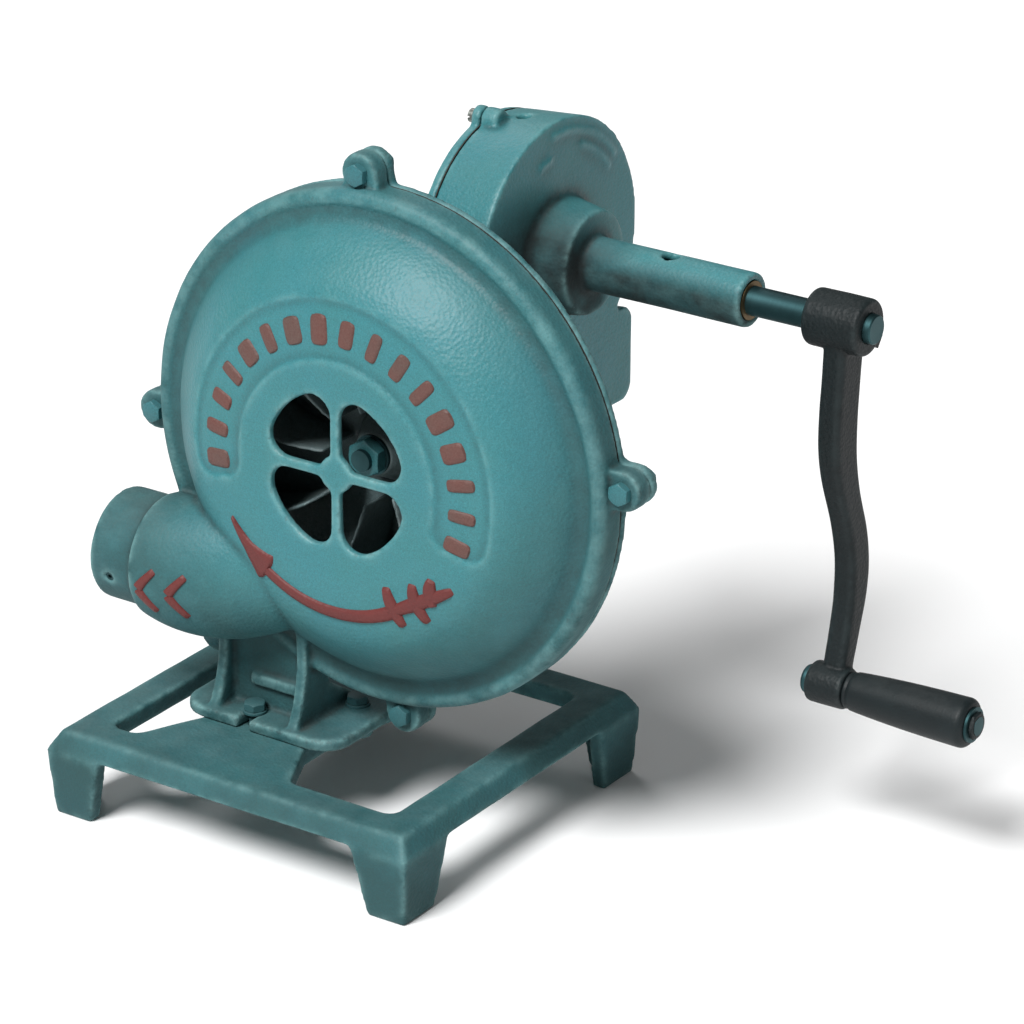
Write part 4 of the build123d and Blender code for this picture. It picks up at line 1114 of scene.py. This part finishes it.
@dataclass
class Fasteners(Assembly):
    """Bolts, nuts, washers and screws of the castings."""

    case_size: BoltSize = BoltSize(6.5, 5.3, 4.0, 1.25, 4.3)
    foot_size: BoltSize = BoltSize(6.5, 5.3, 3.98, 1.25, 4.0)
    neck_size: BoltSize = BoltSize(5.0, 4.5, 2.95, 1.0, 3.5)
    case_top: float = 0.7
    case_tip: float = 37.6
    nut_seat: float = 27.8
    nut_end: float = 34.3
    nut_hole: float = 3.7
    washer_hole: float = 4.1
    washer_r: float = 8.0
    washer_t: float = 1.8
    washer_round: float = 0.35

    def ends(self, node: str, axis: Axis) -> tuple[float, ...]:
        """Lowest and highest place of a node along an axis, in drawing millimetres."""
        shift = self.shop.layout.shift()[axis.value]
        return tuple(corner[axis.value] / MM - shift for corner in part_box(node))

    def middle(self, node: str) -> np.ndarray:
        """Middle of a node's box in drawing millimetres."""
        return np.mean([self.ends(node, axis) for axis in Axis], axis=1)

    def spindle(self, node: str, axis: Axis) -> Spindle:
        """Axis through a node's middle, with heights counted from the drawing's origin.

        Args:
            node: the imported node.
            axis: the direction.

        Returns:
            The spindle.
        """
        centre = self.middle(node)
        centre[axis.value] = 0.0
        return Spindle(axis, tuple(centre))

    def bolt(self, node: str, axis: Axis, size: BoltSize, top: float, tip: float) -> None:
        """Puts a hexagon bolt in the place of a node.

        Args:
            node: the node that it replaces.
            axis: the bolt's direction.
            size: its sizes.
            top: height of the head's outer face.
            tip: height of the thread's end.
        """
        spindle = self.spindle(node, axis)
        way = math.copysign(1.0, tip - top)
        head = spindle.hexagon(size.flat, top + way * size.head_t, top)
        rod = spindle.threaded(size.thread_r, size.pitch, top + way * size.sunk, tip)
        self.shop.stand_in(node, joined([head, rod]), Finish.TEAL_FASTENER)

    def case_bolt(self, node: str) -> None:
        """Hexagon bolt of a case lug, with its threaded end behind the nut."""
        self.bolt(node, Axis.Y, self.case_size, self.case_top, self.case_tip)

    def case_nut(self, node: str) -> None:
        """Hexagon nut behind a case lug."""
        spindle = self.spindle(node, Axis.Y)
        nut = spindle.hexagon(self.case_size.flat, self.nut_seat, self.nut_end, self.nut_hole)
        self.shop.stand_in(node, nut, Finish.TEAL_FASTENER)

    def foot_bolt(self, node: str) -> None:
        """Hexagon bolt of the pedestal flange."""
        low, high = self.ends(node, Axis.Z)
        self.bolt(node, Axis.Z, self.foot_size, high, low)

    def foot_washer(self, node: str) -> None:
        """Plain washer with rounded edges.

        Args:
            node: the node that it replaces.
        """
        half, hole = self.washer_t / 2, self.washer_hole
        corners = [(hole, -half), (self.washer_r, -half), (self.washer_r, half), (hole, half)]
        spindle = Spindle(Axis.Z, tuple(self.middle(node)))
        ring = spindle.turned(rounded_profile(corners, self.washer_round), 64)
        self.shop.stand_in(node, ring, Finish.TEAL_FASTENER)

    def neck_screw(self, node: str) -> None:
        """Hexagon screw of the neck flange."""
        front, back = self.ends(node, Axis.Y)
        self.bolt(node, Axis.Y, self.neck_size, back, front)

    def build(self) -> None:
        """Builds every fastener."""
        makers = {"case_bolt": self.case_bolt, "case_nut": self.case_nut, "foot_bolt": self.foot_bolt,
                  "foot_washer": self.foot_washer, "neck_screw": self.neck_screw}
        for node in list(self.shop.nodes):
            for start, maker in makers.items():
                if node.startswith(start):
                    maker(node)


@dataclass
class Crank(Assembly):
    """Crank arm, grip and nut. The collar's bead is given from its own corner on the neck."""

    grip_x0: float = 252.8
    grip_length: float = 88.0
    collar_length: float = 4.5
    collar_bead: tuple[tuple[float, float], ...] = (
        (0.0, 0.0), (-2.2, 0.0), (-1.1, 0.4), (-0.6, 1.4), (-0.9, 2.4), (-1.1, 3.0), (-0.6, 3.6))
    neck_r: float = 12.6
    end_r: float = 16.2
    swell: float = 0.5
    end_round: float = 5.0
    recess_rims: tuple[float, float] = (9.5, 8.6)
    recess_depth: float = 0.8
    bore_r: float = 6.05
    nut_flat: float = 8.0
    nut_from: float = 1.9
    nut_t: float = 2.8
    nut_hole: float = 5.9

    @property
    def pin(self) -> Spindle:
        """Axis of the handle pin at rest."""
        layout = self.shop.layout
        return Spindle(Axis.X, (0.0, layout.crank_y, layout.crank_z - layout.crank_r))

    def grip(self) -> Surface:
        """Turned grip: a long swell from the collar to the rounded end, with a bead at the collar.

        r(x) = r0 + (r1 - r0) s^0.8 + swell sin(pi s), where s runs from 0 to 1 along the straight part.

        Returns:
            The grip's surface.
        """
        x0, x1 = self.grip_x0, self.grip_x0 + self.grip_length
        start, stop = x0 + self.collar_length, x1 - self.end_round
        share = np.linspace(0, 1, 40)
        radius = self.neck_r + (self.end_r - self.neck_r) * share ** 0.8 + self.swell * np.sin(np.pi * share)
        body = np.stack([np.minimum(radius, self.end_r), start + (stop - start) * share], -1)
        turn = np.linspace(0, np.pi / 2, 10)[1:]
        end = np.stack([self.end_r - self.end_round * (1 - np.cos(turn)),
                        stop + self.end_round * np.sin(turn)], -1)
        collar = np.array(self.collar_bead) + np.array([self.neck_r, x0])
        collar[0, 0] = self.bore_r
        outer, inner = self.recess_rims
        floor = x1 - self.recess_depth
        tail = np.array([(outer, x1), (inner, floor), (self.bore_r, floor)])
        return self.pin.turned(np.vstack([collar, body, end, tail]))

    def build(self) -> None:
        """Builds the arm casting, the grip and its nut."""
        self.shop.cast("crank_arm", Finish.BLACK, 0.8, 6, 0.2)
        self.shop.stand_in("handle_grip", self.grip(), Finish.GRIP)
        start = self.grip_x0 + self.grip_length + self.nut_from
        nut = self.pin.hexagon(self.nut_flat, start, start + self.nut_t, self.nut_hole)
        self.shop.stand_in("grip_nut", nut, Finish.BLACK)


@dataclass
class Markings(Assembly):
    """Raised marks on the front casting, picked out in red: rotation arrow, band blocks, flow chevrons.

    A mark's section runs across its path: shares of the half width, and the height at each as a
    share of the mark's own. Both feet lie foot millimetres under the skin.
    """

    band_mid: float = 93.0
    band_from: float = 187.0
    band_to: float = -17.0
    blocks: int = 17
    chevron_tips: tuple[float, float] = (-146.0, -124.0)
    chevron_z: float = -108.0
    offsets: tuple[float, ...] = (-1.12, -1.0, -0.82, -0.4, 0.0, 0.4, 0.82, 1.0, 1.12)
    crown: tuple[float, ...] = (0.3, 0.85, 1.0, 1.0, 1.0, 0.85, 0.3)
    foot: float = 0.7
    underside: float = 0.9

    def __post_init__(self) -> None:
        """Reads the skin of the dressed front casting."""
        graph = bpy.context.evaluated_depsgraph_get()
        self.skin = BVHTree.FromObject(bpy.data.objects["fan_case_front_cast"], graph)

    def drop(self, flat: np.ndarray) -> tuple[np.ndarray, np.ndarray]:
        """Finds the places of the front skin straight behind flat points.

        Args:
            flat: array (..., 2) of x and z from the fan axis, in millimetres.

        Returns:
            The places in row metres, and the mean outward normal there.
        """
        layout = self.shop.layout
        start = np.stack([flat[..., 0], np.full(flat.shape[:-1], -200.0), flat[..., 1] + layout.fan_z], -1)
        places, normals = [], []
        for point in layout.metres(start).reshape(-1, 3):
            place, normal, _, _ = self.skin.ray_cast(Vector(point), Vector((0.0, 1.0, 0.0)))
            if place is None:
                place, normal, _, _ = self.skin.find_nearest(Vector(point))
            places.append(place)
            normals.append(normal)
        mean = np.array(normals, float).mean(axis=0)
        return np.array(places, float).reshape(*flat.shape[:-1], 3), mean / np.linalg.norm(mean)

    def stroke(self, path: np.ndarray, half: np.ndarray, height: float) -> Surface:
        """Raised ribbon on the skin.

        Args:
            path: array (n, 2) of x and z from the fan axis.
            half: half width at each path point.
            height: how far the crown stands out.

        Returns:
            The ribbon's surface, in drawing millimetres.
        """
        ahead = np.gradient(path, axis=0)
        ahead /= np.linalg.norm(ahead, axis=1, keepdims=True)
        across = np.stack([-ahead[:, 1], ahead[:, 0]], -1)
        flat = path[:, None] + across[:, None] * (half[:, None] * np.array(self.offsets))[..., None]
        places, out = self.drop(flat)
        places = places / MM - self.shop.layout.shift()
        lift = np.full(flat.shape[:-1], -self.foot)
        lift[1:-1, 1:-1] = np.array(self.crown) * height
        top = places + lift[..., None] * out
        low = places - self.underside * out
        return joined([grid_surface(top), grid_surface(low[:, ::-1])])

    def arc(self, radius: np.ndarray, start: float, end: float) -> np.ndarray:
        """Points on an arc about the fan axis, one for each radius."""
        angle = np.radians(np.linspace(start, end, len(radius)))
        return np.stack([radius * np.cos(angle), radius * np.sin(angle)], -1)

    def bent(self, start: tuple, middle: tuple, end: tuple) -> np.ndarray:
        """Points on the curve (1-t)^2 start + 2t(1-t) middle + t^2 end."""
        t = np.linspace(0, 1, 14)[:, None]
        return (1 - t) ** 2 * np.array(start) + 2 * t * (1 - t) * np.array(middle) + t ** 2 * np.array(end)

    def arrow(self) -> Surface:
        """Rotation arrow: a long barbed head, a curved shaft and a feathered tail.

        Returns:
            The arrow's surface.
        """
        head = self.arc(np.linspace(94.2, 94.6, 24), -150.0, -124.0)
        barbs = [np.linspace(0.7, 4.0, 12), np.linspace(4.4, 9.4, 8), [10.6, 11.2, 9.0, 5.0]]
        shaft = self.arc(np.linspace(95.5, 92.0, 40), -127.0, -60.0)
        tails = (((38.0, -64.6), (40.5, -80.0), (50.0, -91.0)), ((58.0, -58.0), (56.0, -72.0), (68.0, -84.0)),
                 ((36.0, -84.5), (60.0, -72.0), (87.0, -56.7)), ((72.0, -52.0), (68.0, -62.0), (72.0, -72.0)))
        strokes = [self.stroke(head, np.concatenate(barbs), 1.9),
                   self.stroke(shaft, np.linspace(3.4, 4.6, 40), 1.8)]
        swell = 1.6 + 3.0 * np.sin(np.pi * np.linspace(0.08, 0.92, 14))
        return joined(strokes + [self.stroke(self.bent(*tail), swell, 1.8) for tail in tails])

    def band_blocks(self) -> Surface:
        """Plain raised blocks of uneven width set round the sunk band.

        Returns:
            The blocks' surface.
        """
        pick = np.random.default_rng(5)
        share = np.linspace(-1, 1, 15)
        blocks = []
        for angle in np.linspace(self.band_from, self.band_to, self.blocks):
            ray = np.array([math.cos(math.radians(angle)), math.sin(math.radians(angle))])
            path = ray[None] * (self.band_mid + pick.uniform(8.5, 10.5) * share)[:, None]
            half = pick.uniform(3.6, 6.0) * (1 - np.abs(share) ** 6) ** 0.5
            blocks.append(self.stroke(path, half + 0.4, 1.3))
        return joined(blocks)

    def chevrons(self) -> Surface:
        """Two chevrons on the outlet that point with the air.

        Returns:
            The chevrons' surface.
        """
        strokes = []
        for x in self.chevron_tips:
            for side in (-1, 1):
                z = self.chevron_z
                path = self.bent((x + 13.0, z + 15.0 * side), (x + 4.0, z + 6.0 * side), (x, z))
                strokes.append(self.stroke(path, np.linspace(2.2, 3.4, 14), 1.5))
        return joined(strokes)

    def build(self) -> None:
        """Builds the raised marks."""
        marks = (("rotation_arrow", self.arrow(), Finish.RED),
                 ("band_blocks", self.band_blocks(), Finish.FADED_RED),
                 ("flow_chevrons", self.chevrons(), Finish.RED))
        for name, surface, finish in marks:
            self.shop.fit(new_piece(name, surface, self.shop.layout, 50.0), finish, "base")


@dataclass(frozen=True)
class Lamp:
    """Soft square light: where it hangs and its side in metres, and its power in watts."""

    name: str
    place: Vec3
    side: float
    power: float


@dataclass
class Studio:
    """Pale floor, soft lights and the camera.

    The camera looks along azimuth and elevation in degrees, past the fan's front by aside and
    below. The sun shines from a direction, with a disc of sun_spread degrees.
    """

    layout: Layout
    azimuth: float = 34.324
    elevation: float = 23.605
    distance: float = 2926.4
    aside: float = 84.83
    below: float = 36.54
    focal_px: float = 4720.0
    image_px: float = 1024.0
    film: float = 36.0
    floor_reach: float = 60.0
    sky_light: float = 0.12
    sun_from: Vec3 = (-0.04, -0.62, 0.78)
    sun_strength: float = 4.5
    sun_spread: float = 24.0
    lamps: tuple[Lamp, ...] = (
        Lamp("rim", (-1.5, 1.1, 1.7), 0.8, 8.0), Lamp("fill", (2.2, -0.8, 1.0), 1.4, 5.0))
    lamp_target: Vec3 = (0.0, 0.0, 0.3)

    def camera(self) -> None:
        """Camera at the photograph's viewing angle."""
        a, e = math.radians(self.azimuth), math.radians(self.elevation)
        right = np.array([math.cos(a), math.sin(a), 0.0])
        back = np.array([math.sin(a) * math.cos(e), -math.cos(a) * math.cos(e), math.sin(e)])
        up = np.cross(back, right)
        centre = np.array([0.0, 0.0, self.layout.fan_z])
        place = self.layout.metres(centre + back * self.distance + right * self.aside - up * self.below)
        data = bpy.data.cameras.new("camera")
        data.sensor_width = self.film
        data.lens = self.film * self.focal_px / self.image_px
        data.clip_start = 0.1
        data.clip_end = 200.0
        camera = linked("camera", data)
        turn = Matrix(np.stack([right, up, back], axis=1).tolist()).to_4x4()
        turn.translation = place.tolist()
        camera.matrix_world = turn
        bpy.context.scene.camera = camera

    def lights(self) -> None:
        """Sun from the front and above, and the lamps, which face their target."""
        data = bpy.data.lights.new("sun", "SUN")
        data.energy = self.sun_strength
        data.angle = math.radians(self.sun_spread)
        turn = Vector(self.sun_from).to_track_quat("Z", "Y").to_matrix().to_4x4()
        linked("sun", data).matrix_world = turn
        for lamp in self.lamps:
            data = bpy.data.lights.new(lamp.name, "AREA")
            data.size = lamp.side
            data.energy = lamp.power
            way = Vector(self.lamp_target) - Vector(lamp.place)
            turn = way.to_track_quat("-Z", "Y").to_matrix().to_4x4()
            linked(lamp.name, data).matrix_world = Matrix.Translation(lamp.place) @ turn

    def floor(self) -> None:
        """Pale floor, so wide that its edge stays out of a view from a little above."""
        reach = np.linspace(-self.floor_reach, self.floor_reach, 41)
        x, y = np.meshgrid(reach, reach, indexing="ij")
        surface = grid_surface(np.stack([x, y, 0 * x], -1))
        mesh = bpy.data.meshes.new("floor")
        mesh.from_pydata(surface.verts.tolist(), [], surface.quads.tolist())
        made, g, place = blank_material("pale_floor")
        shader = g.tree.nodes["Principled BSDF"]
        cloud = g.noise(place, 3.0, 3.0, 0.5)
        g.feed(shader.inputs["Base Color"], g.mix(cloud, (0.86, 0.86, 0.86, 1.0), (0.90, 0.90, 0.90, 1.0)))
        shader.inputs["Roughness"].default_value = 0.7
        mesh.materials.append(made)
        linked("floor", mesh)

    def sky(self) -> None:
        """White world: full white to the camera, and a weak light from all round."""
        world = bpy.data.worlds.new("studio")
        bpy.context.scene.world = world
        world.use_nodes = True
        g = Graph(world.node_tree)
        sky = world.node_tree.nodes["Background"]
        sky.inputs["Color"].default_value = (1.0, 1.0, 1.0, 1.0)
        seen = g.node("LightPath").outputs["Is Camera Ray"]
        g.feed(sky.inputs["Strength"], g.maths("MAXIMUM", seen, self.sky_light))

    def build(self) -> None:
        """Builds the studio."""
        self.camera()
        self.floor()
        self.sky()
        self.lights()
        bpy.context.scene.view_settings.view_transform = "Standard"


def main() -> None:
    """Builds the dressed blower."""
    logging.basicConfig(level=logging.INFO, format="%(name)s %(message)s")
    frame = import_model()
    layout = Layout()
    bodies = frame["record"]["behaviour"]["bodies"]
    body_of_node = {node: body for body, nodes in bodies.items() for node in nodes}
    shop = Workshop(layout, frame["nodes"], body_of_node, frame["record"]["subparts"])
    shop.mix_paints()
    for assembly in (Castings, FanWheel, Fasteners, Crank, Markings):
        assembly(shop).build()
        LOG.info("%s done", assembly.__name__)
    shop.paint_nodes()
    Studio(layout).build()


if __name__ == "__main__":
    main()
